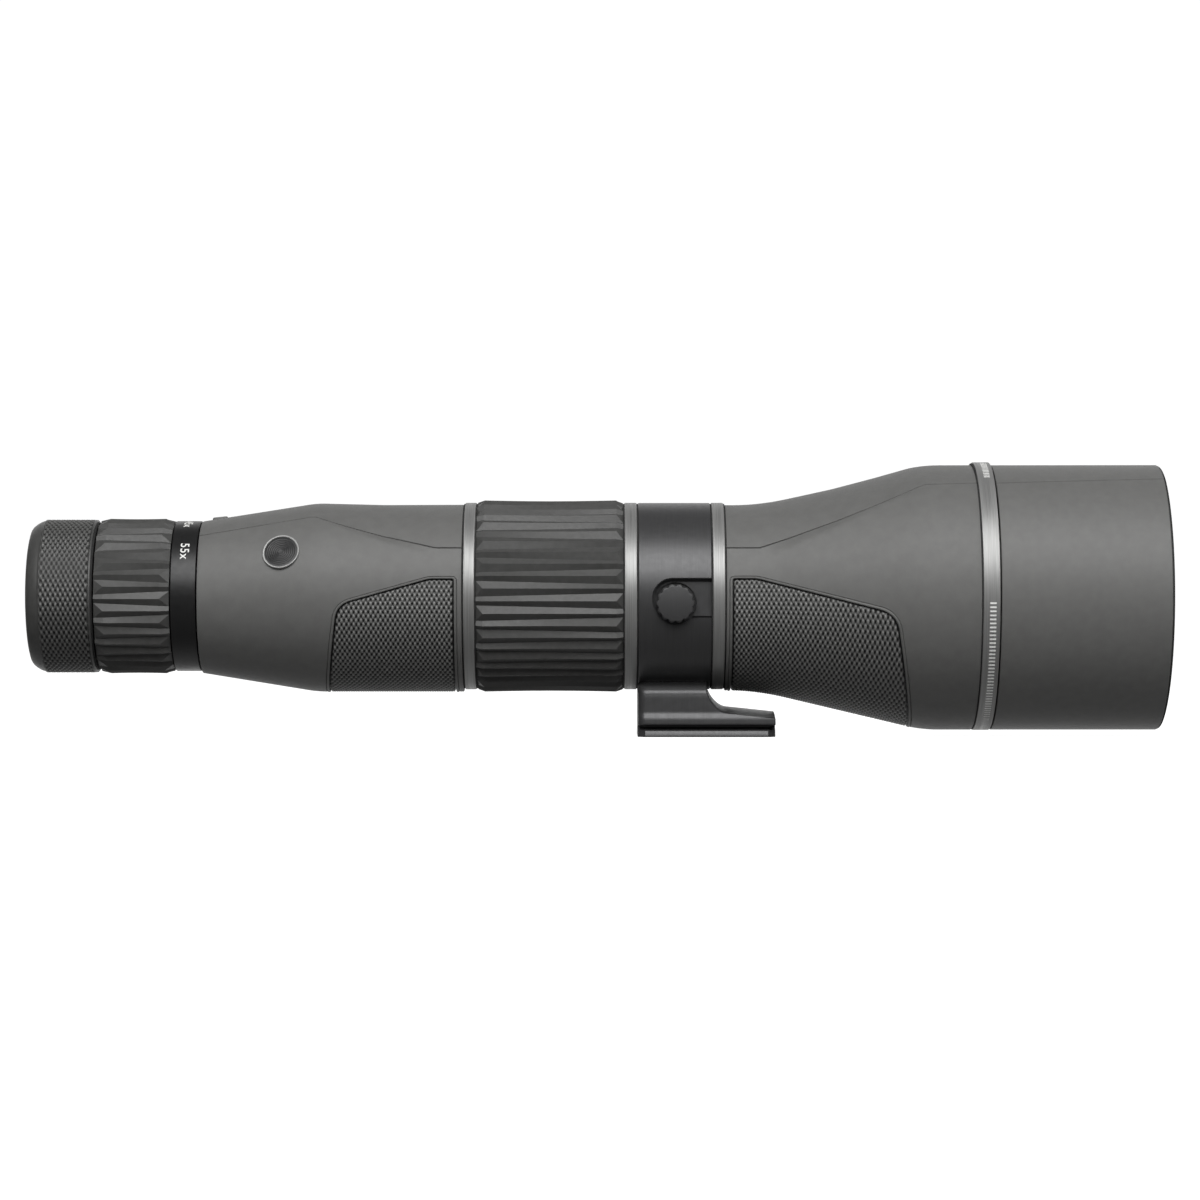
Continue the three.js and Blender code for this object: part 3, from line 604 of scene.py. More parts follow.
def armor_shell(name, node, skin, loop, material):
    """A rubber shell over a skin, with a bordered window where the grip pad sits."""
    rear, front = stations(node)
    x0, x1 = rear + END_ROUND, front - END_ROUND
    half = PI * UNROLL
    loops = [moved_out(loop, distance) for distance, _ in BORDER]
    column_width, row_count, clear = 1.6, 140, 0.5
    columns = np.linspace(x0, x1, round((x1 - x0) / column_width) + 1)
    rows = np.linspace(-half, half, row_count + 1)
    stepped = columns[np.interp(columns, *skin.step) > 0.02]  # where the facet has an edge
    lines = []
    for side in (-1, 1):
        for line, shift in ((skin.crease, -1), (skin.crease, 0), (skin.crease, 1), (skin.facet, 0)):
            xs = stepped if line is skin.facet else columns
            angle = skin.line_angle(line, xs) + shift * GROOVE_HALF / skin.round_radius(xs)
            lines.append(np.stack([xs, side * (PI - angle) * UNROLL], axis=1))
    grid = np.stack(np.meshgrid(columns, rows, indexing="ij"), axis=-1).reshape(-1, 2)
    keep = ~inside(grid, moved_out(loops[-1], clear))
    for line in lines:
        apart = np.abs(grid[:, 1] - np.interp(grid[:, 0], line[:, 0], line[:, 1]))
        keep &= (apart > clear) | (grid[:, 0] < line[0, 0]) | (grid[:, 0] > line[-1, 0])
    chains = [(line, False) for line in lines] + [(loops[-1], True)]
    flat, faces = flat_mesh(grid[keep], chains)
    centres = np.array([flat[list(face)].mean(axis=0) for face in faces])
    outside = ~inside(centres, loops[-1])
    faces = [face for face, good in zip(faces, outside) if good]

    blocks = [rolled(flat, skin), rolled(flat, skin, ARMOR_WALL)]
    count = len(flat)
    mesh = list(faces) + [tuple(count + i for i in reversed(face)) for face in faces]
    offset = 2 * count
    strip = [rolled(loops[-1], skin, ARMOR_WALL), rolled(loops[0], skin, ARMOR_WALL)]
    strip += [rolled(points, skin, depth) for points, (_, depth) in zip(loops, BORDER)]
    ring = len(loop)
    for k in range(len(strip) - 1):
        mesh += band(offset + k * ring, offset + (k + 1) * ring, ring)
    blocks += strip
    offset += len(strip) * ring

    for x, end in ((x0, rear), (x1, front)):
        rim = flat[np.abs(flat[:, 0] - x) < 1e-4]
        rim = rim[np.argsort(rim[:, 1])]
        turns = [(0, 0.0), (0.7, 0.1), (1, END_ROUND), (1, ARMOR_WALL - 0.05), (0, ARMOR_WALL)]
        for share, depth in turns:
            points = rolled(rim, skin, depth)
            points[:, 0] = x + share * (end - x)
            blocks.append(points)
        for k in range(len(turns) - 1):
            mesh += band(offset + k * len(rim), offset + (k + 1) * len(rim), len(rim), closed=False)
        offset += len(turns) * len(rim)
    add_piece(name, np.concatenate(blocks), mesh, material, BODY_OF[node], node, sharp=32)


BUMP_PITCH = 1.7  # along the axis
BUMP_ROWS = 72  # full rows of bumps round the tube
BUMP_DEPTH = 0.8
SAMPLES = 6  # mesh points for each bump
KNURL_DEPTH = 0.75
PLAIN_LIFT = 0.55  # lift of plain rubber by the bumps: some painted pit shade, so darker than their tops


def bump_height(x, angle, pitch, rows):
    """Staggered bumps: 1 on a bump's top and 0 in a pit."""
    wave = np.cos(2 * PI * x / pitch) * np.cos(rows * angle)
    return np.clip(0.6 + 0.8 * wave, 0, 1)


def grip_pad(name, node, skin, loop, material):
    """A rubber pad with staggered bumps that fills its window in the armour."""
    across = 2 * PI / BUMP_ROWS / SAMPLES * UNROLL
    along = BUMP_PITCH / SAMPLES
    low, high = loop.min(axis=0), loop.max(axis=0)
    xs = np.arange(math.floor(low[0] / along), math.ceil(high[0] / along) + 1) * along
    ys = np.arange(math.floor(low[1] / across), math.ceil(high[1] / across) + 1) * across
    flat = np.stack(np.meshgrid(xs, ys, indexing="ij"), axis=-1).reshape(-1, 2)
    columns = len(ys)
    centres = np.stack(np.meshgrid(xs[:-1] + along / 2, ys[:-1] + across / 2, indexing="ij"), axis=-1)
    filled = inside(centres.reshape(-1, 2), loop).reshape(len(xs) - 1, len(ys) - 1)
    cells = np.argwhere(filled)
    uses = np.zeros((len(xs), len(ys)), int)
    for step in ((0, 0), (0, 1), (1, 0), (1, 1)):
        np.add.at(uses, tuple((cells + step).T), 1)
    uses = uses.reshape(-1)
    border = (uses > 0) & (uses < 4)
    flat[border] = nearest_on(flat[border], loop)[0]
    used = np.flatnonzero(uses)
    number = np.full(len(flat), -1)
    number[used] = np.arange(len(used))
    flat = flat[used]
    firsts = cells[:, 0] * columns + cells[:, 1]
    faces = [tuple(number[[i, i + columns, i + columns + 1, i + 1]]) for i in firsts]

    _, distance = nearest_on(flat, loop)
    plain_edge, fade_width = 0.25, 0.4
    fade = np.clip((distance - plain_edge) / fade_width, 0, 1)
    height = bump_height(flat[:, 0], flat[:, 1] / UNROLL, BUMP_PITCH, BUMP_ROWS) * fade
    top = rolled(flat, skin, BUMP_DEPTH * (1 - height))

    edges = {edge for face in faces for edge in zip(face, face[1:] + face[:1])}
    onward = {a: b for a, b in edges if (b, a) not in edges}
    chain = [min(onward)]
    while onward[chain[-1]] != chain[0]:
        chain.append(onward[chain[-1]])
    rim = flat[chain]
    margin = 0.6  # between the rim and the underside's inner points
    coarse = np.stack(np.meshgrid(xs[::12], ys[::10], indexing="ij"), axis=-1).reshape(-1, 2)
    coarse = coarse[inside(coarse, loop)]
    coarse = coarse[nearest_on(coarse, rim)[1] > margin]
    under, under_faces = flat_mesh(coarse, [(rim, True)])
    middles = np.array([under[list(face)].mean(axis=0) for face in under_faces])
    under_faces = [face for face, good in zip(under_faces, inside(middles, rim)) if good]
    wall = [rolled(rim, skin, BUMP_DEPTH), rolled(rim, skin, ARMOR_WALL)]
    count, ring = len(flat), len(rim)
    faces += band(count, count + ring, ring)
    base = count + 2 * ring
    faces += [tuple(base + i for i in reversed(face)) for face in under_faces]
    vertices = np.concatenate([top, *wall, rolled(under, skin, ARMOR_WALL)])
    # the lift tells the material where to paint shade into the pits
    lift = np.concatenate([height, np.zeros(len(vertices) - len(height))])
    add_piece(name, vertices, faces, material, BODY_OF[node], node, sharp=60, lift=lift)


REAR_END_RADIUS = 27.4  # of the rear housing at the eyepiece
REAR_SHOULDER = -137.9  # where the rear housing stops widening


def rear_slope():
    """How fast the rear housing widens towards its shoulder."""
    return (radius("rear_armor") - REAR_END_RADIUS) / (REAR_SHOULDER - stations("rear_armor")[0])


def rear_skin():
    rear, front = stations("rear_armor")
    slope = rear_slope()
    lead = 10  # the first bend lies this far behind the housing
    return Skin(
        REAR_END_RADIUS - lead * slope,
        [(rear - lead, slope, 1), (REAR_SHOULDER, -slope, 3)],
        crease=[(rear, 21.2), (-138, 27.9), (-95.1, 16.8), (front, 16.8)],
        facet=[(rear, 21.2), (-138, 27.8), (-97, 13.9), (front, 13.9)],
        step=[(-137, 0), (-128, 0.7), (-114, 1.2), (-96, 0)],
        drop=[(rear, 0.8), (-138, 1.0), (-114, 1.6), (front, 1.5)],
    )


def front_skin():
    rear, front = stations("front_armor")
    neck_radius, slope = 33.6, 0.2366
    return Skin(
        neck_radius,
        [(17.7, slope, 10.5), (76.5, -slope, 6)],
        crease=[(rear, 16.8), (18.3, 16.8), (76.1, 39.0), (front, 39.5)],
        facet=[(rear, 12.4), (18.3, 12.4), (74, 38.1), (front, 39.4)],
        step=[(18, 0), (28, 1.0), (45, 1.4), (60, 1.0), (76, 0)],
        drop=[(rear, 1.2), (33, 1.8), (45, 2.0), (60, 1.6), (73, 1.0), (front, 0.95)],
    )


def housing(place, skin, pad_corners, corner_sizes, finishes):
    """One armour shell and the grip pad in its window."""
    loop = unrolled_loop(rounded_path(pad_corners, corner_sizes), skin)
    armor_shell(place + "_armor_shell", place + "_armor", skin, loop, finishes["armor"])
    grip_pad(place + "_pad", place + "_grip_pad", skin, loop, finishes["pad"])


def make_housings(finishes):
    end = stations("rear_grip_pad")[1]
    corners = [(end - 45.3, -38), (end - 40.6, -3.2), (end - 8.5, 5.9), (end, 5.9), (end, -38)]
    housing("rear", rear_skin(), corners, {1: 5, 2: 1.5, 3: 0.5}, finishes)
    start = stations("front_grip_pad")[0]
    corners = [(start, -52), (start, 6), (start + 8.3, 6), (start + 56.2, -6.4), (start + 63.6, -52)]
    housing("front", front_skin(), corners, {1: 0.5, 2: 1.5, 3: 6}, finishes)


# ---------------------------------------------------------------- fluted rings

def fluted_ring(name, node, material, flutes, crest_angle, cut_length, depth, hollow, bore):
    """A ring of straight crests. The valleys between them run to and fro, and each crest is cut off by a
    triangular facet at alternate ends. hollow is how far the ring's waist sinks."""
    valley_end_drop, crest_end_drop = 0.5, 0.9
    rear, front = stations(node)
    outer = radius(node)
    pitch = 2 * PI / flutes
    xs = [rear, *np.linspace(rear + cut_length, front - cut_length, 7), front]
    vertices = []
    for x in xs:
        share = (x - rear) / (front - rear)
        dip = hollow * math.sin(PI * share)
        end = (x == front) * 1 - (x == rear) * 1  # 1 in front, -1 at the rear and 0 between
        for k in range(flutes):
            direction = -1 if k % 2 == 0 else 1  # to the end where the crest is cut off
            valley_radius = outer - depth - 0.6 * dip - (valley_end_drop if end else 0)
            crest_radius = outer - dip - (crest_end_drop if end else 0)
            if direction == end:
                crest_radius = valley_radius * math.cos(0.45 * pitch)
            crest = crest_angle + k * pitch
            valley = crest + (0.5 + direction * (0.28 * share - 0.14)) * pitch
            vertices += list(at(x, np.array([crest_radius, valley_radius]), np.array([crest, valley])))
    around = 2 * flutes
    faces = []
    for i in range(len(xs) - 1):
        for j, (a, b, c, d) in enumerate(band(i * around, (i + 1) * around, around)):
            crest_first = j % 2 == 0
            crest_number = (j + 1) // 2 % flutes
            rear_cut = i == 0 and crest_number % 2 == 0
            front_cut = i == len(xs) - 2 and crest_number % 2 == 1
            if not rear_cut and not front_cut:
                faces.append((a, b, c, d))
            elif rear_cut == crest_first:
                faces += [(a, b, d), (b, c, d)]
            else:
                faces += [(a, b, c), (a, c, d)]
    base, last = len(vertices), (len(xs) - 1) * around
    angles = full_turn(around) + crest_angle
    for x in (rear, front):
        vertices += list(at(x, np.full(around, bore), angles))
    for first, second in ((0, base), (last, base + around), (base, base + around)):
        faces += band(first, second, around)
    add_piece(name, vertices, faces, material, BODY_OF[node], node, sharp=8)


def make_grips(finishes):
    fluted_ring(
        "focus_ring_grip", "focus_grip", finishes["grip"], flutes=48, crest_angle=math.radians(90 - 4.4),
        cut_length=2.4, depth=1.25, hollow=0.35, bore=31.4,
    )
    fluted_ring(
        "zoom_ring_grip", "zoom_grip", finishes["grip"], flutes=40, crest_angle=math.radians(90 - 6.8),
        cut_length=3.4, depth=1.15, hollow=0.25, bore=24.8,
    )


# ---------------------------------------------------------------- eyepiece

def make_eyecup(finishes):
    """The rubber cup: a smooth rolled lip, a band of staggered bumps and a plain edge over the sleeve."""
    rear, front = stations("eyecup_rubber")
    outer = radius("eyecup_rubber")
    flange = radius("eyecup_sleeve") + 0.05
    cover = stations("eyecup_sleeve")[1] - 0.5
    knurl_rear, knurl_front = rear + 5.0, cover - 0.9
    pitch, rows = 1.74, 50
    xs = np.arange(knurl_rear, knurl_front, pitch / SAMPLES)
    lip = [
        (rear + 7.8, 18), (rear + 6.6, 18), (rear + 3.2, 19.6), (rear + 0.9, 20.8), (rear + 0.25, 21.5),
        (rear, 22.3), (rear, 23.2), (rear + 0.25, 24.1), (rear + 0.8, 24.8), (rear + 1.8, 25.6),
        (rear + 3.2, 26.4), (rear + 4.2, 26.75), (rear + 4.8, 26.9),
    ]
    skirt = [
        (cover - 0.85, outer - 0.4), (cover - 0.7, outer - 0.1), (cover - 0.2, outer - 0.1),
        (cover, outer - 0.3), (cover, flange), (front + 0.05, flange), (front + 0.05, 23.9),
        (rear + 7.8, 23.9),
    ]
    profile = lip + [(x, None) for x in xs] + skirt
    angles = full_turn(rows * SAMPLES)
    rings, lift = [], []
    for x, r in profile:
        if r is None:
            fade = np.clip(min(x - knurl_rear, knurl_front - x) / 0.5, 0, 1)
            height = bump_height(x - knurl_rear, angles, pitch, rows)
            radii = outer - KNURL_DEPTH * (1 - height) * fade
            # the lift tells the material where to paint pit shade; plain rubber gets PLAIN_LIFT
            lift.append(height * fade + PLAIN_LIFT * (1 - fade))
        else:
            radii = np.full(len(angles), float(r))
            lift.append(np.full(len(angles), PLAIN_LIFT))
        rings.append(at(x, radii, angles))
    vertices, faces = rings_mesh(rings, closed_along=True)
    add_piece(
        "eyecup_cup", vertices, faces, finishes["eyecup"], "eyecup", "eyecup_rubber", sharp=60,
        lift=np.concatenate(lift),
    )


def add_number(text, angle, middle, surface, size, finish, body):
    """Prints a number on a ring. It reads down the near side, with its top towards the objective."""
    curve = bpy.data.curves.new("number", "FONT")
    curve.body = text
    curve.size = size
    curve.align_x = "CENTER"
    curve.align_y = "CENTER"
    curve.offset = 0.012 * size  # makes the strokes bolder
    curve.space_character = 1.12
    curve.extrude = 0.03
    letters = linked(bpy.data.objects.new("number", curve))
    bpy.context.view_layer.update()
    mesh = letters.to_mesh()
    fine = bmesh.new()
    fine.from_mesh(mesh)
    bmesh.ops.triangulate(fine, faces=fine.faces)
    bmesh.ops.subdivide_edges(fine, edges=[e for e in fine.edges if e.calc_length() > 0.5], cuts=2)
    flat = np.array([tuple(v.co) for v in fine.verts])
    fine.verts.ensure_lookup_table()
    faces = [tuple(v.index for v in face.verts) for face in fine.faces]
    fine.free()
    letters.to_mesh_clear()
    bpy.data.objects.remove(letters)
    turn = angle + flat[:, 0] / surface
    height = surface + 0.02 + flat[:, 2]
    points = np.stack([middle + flat[:, 1], -height * np.sin(turn), height * np.cos(turn)], axis=1)
    piece = add_piece("dial_number_" + text, points, faces, finish, body)


def make_dial(finishes):
    """The magnification ring with its four numbers."""
    refine("magnification_ring", finishes["anodised"], 0.3)
    rear, front = stations("magnification_ring")
    middle, surface = (rear + front) / 2 + 0.1, radius("magnification_ring")
    first, spacing, size = math.radians(53.4), math.radians(-37), 4.3
    for k, text in enumerate(("55x", "45x", "35x", "27x")):
        add_number(text, first + k * spacing, middle, surface, size, finishes["print"], "zoom_ring")


# ---------------------------------------------------------------- objective end

def shade_skin():
    rear, front = stations("sunshade")
    return Skin(
        radius("sunshade"),
        [],
        crease=[(rear, 39.5), (front, 41.1)],
        facet=[(rear, 39.5), (front, 41.1)],
        step=[(rear, 0)],
        drop=[(rear, 0.95), (front, 0.9)],
    )


def make_sunshade(finishes):
    """A thin tube with the flattened panel on top, a dark front rim and fine ribs inside against glare."""
    rear, front = stations("sunshade")
    skin = shade_skin()
    full = radius("sunshade")
    bore = full - 2.1
    lip = full - 3

    def ring_angles(x):
        """Angles round the tube, with a point on each crease and on both sides of it."""
        edge = float(skin.line_angle(skin.crease, x))
        groove = GROOVE_HALF / full  # in radians
        panel, flank = np.linspace(0, edge - groove, 16), np.linspace(edge + groove, PI, 80)
        half = np.concatenate([panel, [edge], flank])
        return np.concatenate([half, -half[-2:0:-1]])

    def under_skin(x, depth):
        angles = ring_angles(x)
        return at(x, skin.radius(x, angles) - depth, angles)

    def plain(x, r):
        angles = ring_angles(x)
        return at(x, np.full(len(angles), r), angles)

    seam = front - 0.8
    rings = [plain(rear, bore), under_skin(rear, 0.4), under_skin(rear + 0.12, 0.12)]
    rings += [under_skin(x, 0) for x in np.linspace(rear + 0.4, seam - 0.2, 14)]
    rings += [under_skin(seam, 0.12), plain(seam, lip), plain(front - 3, lip), plain(front - 4.5, bore)]
    rib, gap = 1.4, 0.3
    for x in np.arange(front - 6, rear + 12, -rib - gap):
        rings += [plain(x, bore), plain(x - rib / 2, bore + 0.35), plain(x - rib, bore)]
    vertices, faces = rings_mesh(rings, closed_along=True)
    add_piece("sunshade_tube", vertices, faces, finishes["coat"], "sunshade", "sunshade")

    start = seam + 0.01
    rim = [plain(start, lip), under_skin(start, 0.25), under_skin(front - 0.35, 0.3)]
    rim += [under_skin(front - 0.1, 0.5), under_skin(front, 0.85)]
    rim += [plain(front, lip + 0.4), plain(front - 0.15, lip + 0.1)]
    vertices, faces = rings_mesh(rim, closed_along=True)
    piece = add_piece("sunshade_rim", vertices, faces, finishes["flat_black"], "sunshade")


def make_objective(finishes):
    for node in ("objective_barrel", "sunshade_stop_ring"):
        refine(node, finishes["anodised"])
    for node in ("objective_retaining_ring", "objective_lens_spacer", "baffle_front", "baffle_middle"):
        refine(node, finishes["flat_black"], 0.1)
    for node in ("objective_lens_front", "objective_lens_rear"):
        make_lens(node, finishes["glass"])
    refine("sunshade_guide", finishes["rubber"])
    refine("trim_ring_objective", finishes["trim"], 0.3)


def make_lens(node, material):
    """A polished lens: the CAD outline's faces become smooth parabolas, with a small bevel at the edge."""
    bevel, steps = 0.4, 22
    outline = section(node)
    rim = max(r for _, r in outline)
    edge_xs = sorted(x for x, r in outline if r == rim)
    axis_xs = sorted(x for x, r in outline if r < 1e-6)
    profile = []
    shares = np.linspace(0, 1 - bevel / rim, steps)
    for inward, edge_x, axis_x in zip((1, -1), edge_xs, axis_xs):
        face = [(axis_x + (edge_x - axis_x) * t * t, rim * t) for t in shares]
        face.append((edge_x + inward * bevel / 2, rim))
        profile += face[::inward]
    vertices, faces = turned(profile)
    add_piece(node + "_polished", vertices, faces, material, BODY_OF[node], node, sharp=20)


# ---------------------------------------------------------------- trim, badge and index

def make_trim(finishes):
    for node in ("trim_ring_rear", "trim_ring_middle", "trim_ring_front"):
        refine(node, finishes["trim"], 0.35)
    refine("eyecup_sleeve", finishes["flat_black"], 0.2)
    make_lens("eye_lens", finishes["glass"])
    for node in ("eye_lens_retainer", "field_stop"):
        refine(node, finishes["flat_black"], 0.1)


def collar_ends():
    """Where the collar's ring starts and ends, without the foot's toe."""
    gap = 0.5
    return stations("trim_ring_middle")[1] + gap, stations("trim_ring_front")[0] - gap


def make_seals(finishes):
    """A thin black seal in each gap between the rings and the housings along the tube."""
    row = (
        "rear_armor", "trim_ring_rear", "focus_grip", "trim_ring_middle", "tripod_collar", "trim_ring_front",
        "front_armor", "trim_ring_objective",
    )
    ends = {node: stations(node) for node in row}
    ends["tripod_collar"] = collar_ends()
    clear, below, tall = 0.03, 0.35, 2.0
    for behind, ahead in zip(row[:-1], row[1:]):
        rear, front = ends[behind][1] + clear, ends[ahead][0] - clear
        trim = behind if behind.startswith("trim") else ahead
        outer = radius(trim) - below
        outline = [(rear, outer - tall), (rear, outer), (front, outer), (front, outer - tall)]
        vertices, faces = turned(rounded(outline, 0.1))
        seal = add_piece("seal_behind_" + ahead, vertices, faces, finishes["flat_black"], "scope_tube")


def make_badge(finishes):
    """A plain round medallion: a dark disc with fine turned rings in a bare metal bezel."""
    centre_x, centre_z, _ = seen_from_side("badge")
    centre_y = sum(corner.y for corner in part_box("badge")) / 2 / MM
    out = math.atan2(-centre_y, centre_z)
    slope = math.atan(rear_slope())
    normal = Vector((-math.sin(slope), -math.cos(slope) * math.sin(out), math.cos(slope) * math.cos(out)))
    along = Vector((math.cos(slope), -math.sin(slope) * math.sin(out), math.sin(slope) * math.cos(out)))
    across = normal.cross(along)
    proud = 0.75
    face = Vector((centre_x, centre_y, centre_z)) + normal * proud
    turns = full_turn(96)

    def round_piece(name, profile, closed, material, *nodes):
        rings = []
        for r, lift in profile:
            middle = face + normal * lift
            rings.append([middle + along * (r * math.cos(t)) + across * (r * math.sin(t)) for t in turns])
        vertices, faces = rings_mesh(rings, closed)
        return add_piece(name, vertices, faces, material, "scope_tube", *nodes, sharp=25)

    crest, valley = -0.11, -0.19
    turned_rings = [(r, crest if k % 2 else valley) for k, r in enumerate(np.arange(0.6, 5.6, 0.35))]
    edge = [(5.75, -0.2), (6.2, -0.2), (6.2, -1.3), (0, -1.3)]
    round_piece("round_medallion", [(0, -0.12)] + turned_rings + edge, False, finishes["anodised"], "badge")
    bezel = [(5.85, -0.5), (5.85, 0.0), (6.1, 0.12), (6.45, 0.12), (6.6, -0.1), (6.6, -1.2), (6.3, -1.2)]
    ring = round_piece("medallion_bezel", rounded(bezel, 0.08), True, finishes["trim"])


def make_index(finishes):
    """The small raised index on the armour's top panel, with soft edges. It sinks towards the front."""
    half = radius("magnification_index")
    rear, front = stations("magnification_index")
    skin = rear_skin()
    corner, corner_steps = 1.0, 5
    vertices, faces = [], []
    for inset, share in ((0.0, -1.2), (0.0, 0.3), (0.1, 0.7), (0.3, 0.92), (0.6, 1.0)):
        reach = corner - inset * 0.6
        for side_x, side_y, start in ((1, 1, 0), (-1, 1, 90), (-1, -1, 180), (1, -1, 270)):
            middle_x = (rear + front) / 2 + side_x * ((front - rear) / 2 - inset - reach)
            middle_y = side_y * (half - inset - reach)
            for turn in np.radians(np.linspace(start, start + 90, corner_steps)):
                x, y = middle_x + reach * math.cos(turn), middle_y + reach * math.sin(turn)
                proud = 0.8 - 0.3 * (x - rear) / (front - rear)
                vertices.append((x, y, float(skin.radius(x, 0.0)) + proud * share))
    ring = 4 * corner_steps
    count = len(vertices)
    for first in range(0, count - ring, ring):
        faces += band(first, first + ring, ring)
    faces.append(tuple(range(count - ring, count)))
    faces.append(tuple(reversed(range(ring))))
    add_piece(
        "index_bump", vertices, faces, finishes["armor"], "scope_tube", "magnification_index", sharp=40,
    )


def make_trim_marks(finishes):
    """Rows of equal short dashes on the objective trim ring, where a maker would print lettering."""
    rear, front = stations("trim_ring_objective")
    surface = radius("trim_ring_objective")
    middle = (rear + front) / 2 + 0.4
    half_width, pitch, half_length = 0.36, 1.7, 1.1  # the first two in degrees
    vertices, faces = [], []
    for degrees in [93 + k * pitch for k in range(38)] + [10 + k * pitch for k in range(12)]:
        first = len(vertices)
        for r in (surface - 0.13, surface + 0.04):
            for x in (middle - half_length, middle + half_length):
                for turn in np.radians((degrees - half_width, degrees + half_width)):
                    vertices.append((x, -r * math.sin(turn), r * math.cos(turn)))
        a, b, c, d, e, f, g, h = range(first, first + 8)
        faces += [(a, b, d, c), (e, g, h, f), (a, e, f, b), (c, d, h, g), (a, c, g, e), (b, f, h, d)]
    piece = add_piece("trim_dashes", vertices, faces, finishes["print"], "scope_tube")


# ---------------------------------------------------------------- collar, foot and lock knob

def solid_piece(name, vertices, faces):
    """A loose closed mesh in millimetres, used to build other pieces."""
    mesh = bpy.data.meshes.new(name)
    mesh.from_pydata([tuple(map(float, v)) for v in vertices], [], faces)
    return merged_object(name, mesh, 1e-4)


def cut_away(piece, tool):
    """Cuts one loose solid out of another. The tool is used up."""
    modifier = piece.modifiers.new("cut", "BOOLEAN")
    modifier.operation = "DIFFERENCE"
    modifier.solver = "EXACT"
    modifier.object = tool
    bpy.context.view_layer.update()
    graph = bpy.context.evaluated_depsgraph_get()
    mesh = bpy.data.meshes.new_from_object(piece.evaluated_get(graph))
    piece.modifiers.clear()
    piece.data = mesh
    bpy.data.objects.remove(tool)


def extruded(name, outline, near, far, place):
    """Carries a closed flat outline between two distances. place turns (u, v, distance) into a point."""
    count = len(outline)
    vertices = [place(u, v, near) for u, v in outline] + [place(u, v, far) for u, v in outline]
    faces = [tuple(range(count)), tuple(reversed(range(count, 2 * count)))]
    return solid_piece(name, vertices, faces + band(0, count, count))


def to_frame(piece):
    """Turns a loose millimetre solid into metres in the part's frame."""
    for vertex in piece.data.vertices:
        vertex.co = vertex.co * MM + Vector((0, 0, AXIS_Z))
    piece.data.update()


def arc(centre, size, start, end, steps):
    """Points on an arc, with angles in degrees."""
    return [
        (centre[0] + size * math.cos(math.radians(a)), centre[1] + size * math.sin(math.radians(a)))
        for a in np.linspace(start, end, steps)
    ]


def circle(centre, size):
    """48 points round a circle."""
    return arc(centre, size, 0, 352.5, 48)


def make_collar(finishes):
    """The ring of the tripod collar. The lock knob sits in a slot that is open to the front, and a groove
    follows the slot's wall."""
    rear, front = collar_ends()
    bore, outer = 28.7, 33.15
    outline = [(rear, bore), (rear, outer), (front, outer), (front, bore)]
    ring = solid_piece("collar_ring", *turned(rounded(outline, 0.4), 240))
    knob_x, knob_z, knob_size = seen_from_side("lock_knob")
    slot_x, slot_z, slot_radius = knob_x - 0.9, knob_z + 1.6, 6.95
    floor, groove_floor, groove_width = 30.9, 29.9, 1.0
    above = floor + 12  # clear of the ring

    def side(u, v, distance):
        return (u, -distance, v)

    def slot_outline(inset):
        size = slot_radius - inset
        curve = arc((slot_x, slot_z), size, 90, 270, 40)
        return [(front + 8, slot_z + size)] + curve + [(front + 8, slot_z - size)]

    def round_hole(name, size, near, far):
        return extruded(name, circle((knob_x, knob_z), size), near, far, side)

    cut_away(ring, extruded("slot", slot_outline(0), floor, above, side))
    groove = extruded("groove", slot_outline(0), groove_floor, floor + 1, side)
    cut_away(groove, extruded("island", slot_outline(groove_width), groove_floor - 1, floor + 2, side))
    cut_away(ring, groove)
    cut_away(ring, round_hole("knob_recess", knob_size + 0.5, groove_floor, above))
    cut_away(ring, round_hole("shoe_hole", seen_from_side("clamp_shoe")[2] + 0.3, floor - 10, above))
    upper_part = slot_outline(0)[:28]
    cut_away(ring, chamfer_tool(upper_part, outer, 0.42))
    to_frame(ring)
    dress(ring, finishes["collar"], "tripod_collar", "tripod_collar", sharp=28)


def chamfer_tool(outline, surface, size):
    """A square bar that follows an outline over a round surface, to cut its edge at 45 degrees."""
    spacing = 0.8
    path = []
    for (u0, v0), (u1, v1) in zip(outline[:-1], outline[1:]):
        steps = max(1, round(math.dist((u0, v0), (u1, v1)) / spacing))
        path += [(u0 + (u1 - u0) * k / steps, v0 + (v1 - v0) * k / steps) for k in range(steps)]
    path.append(outline[-1])
    points = np.array([(u, -math.sqrt(surface ** 2 - v ** 2), v) for u, v in path])
    tangent = np.gradient(points, axis=0)
    tangent /= np.linalg.norm(tangent, axis=1)[:, None]
    outward = points * (0, 1, 1)
    outward /= np.linalg.norm(outward, axis=1)[:, None]
    sideways = np.cross(tangent, outward)
    shifts = (outward, sideways, -outward, -sideways)
    vertices = np.concatenate([points + shift * size for shift in shifts])
    count = len(points)
    faces = []
    for k in range(4):
        faces += band(k * count, (k + 1) % 4 * count, count, closed=False)
    faces += [(0, count, 2 * count, 3 * count), (count - 1, 4 * count - 1, 3 * count - 1, 2 * count - 1)]
    return solid_piece("chamfer", vertices, faces)


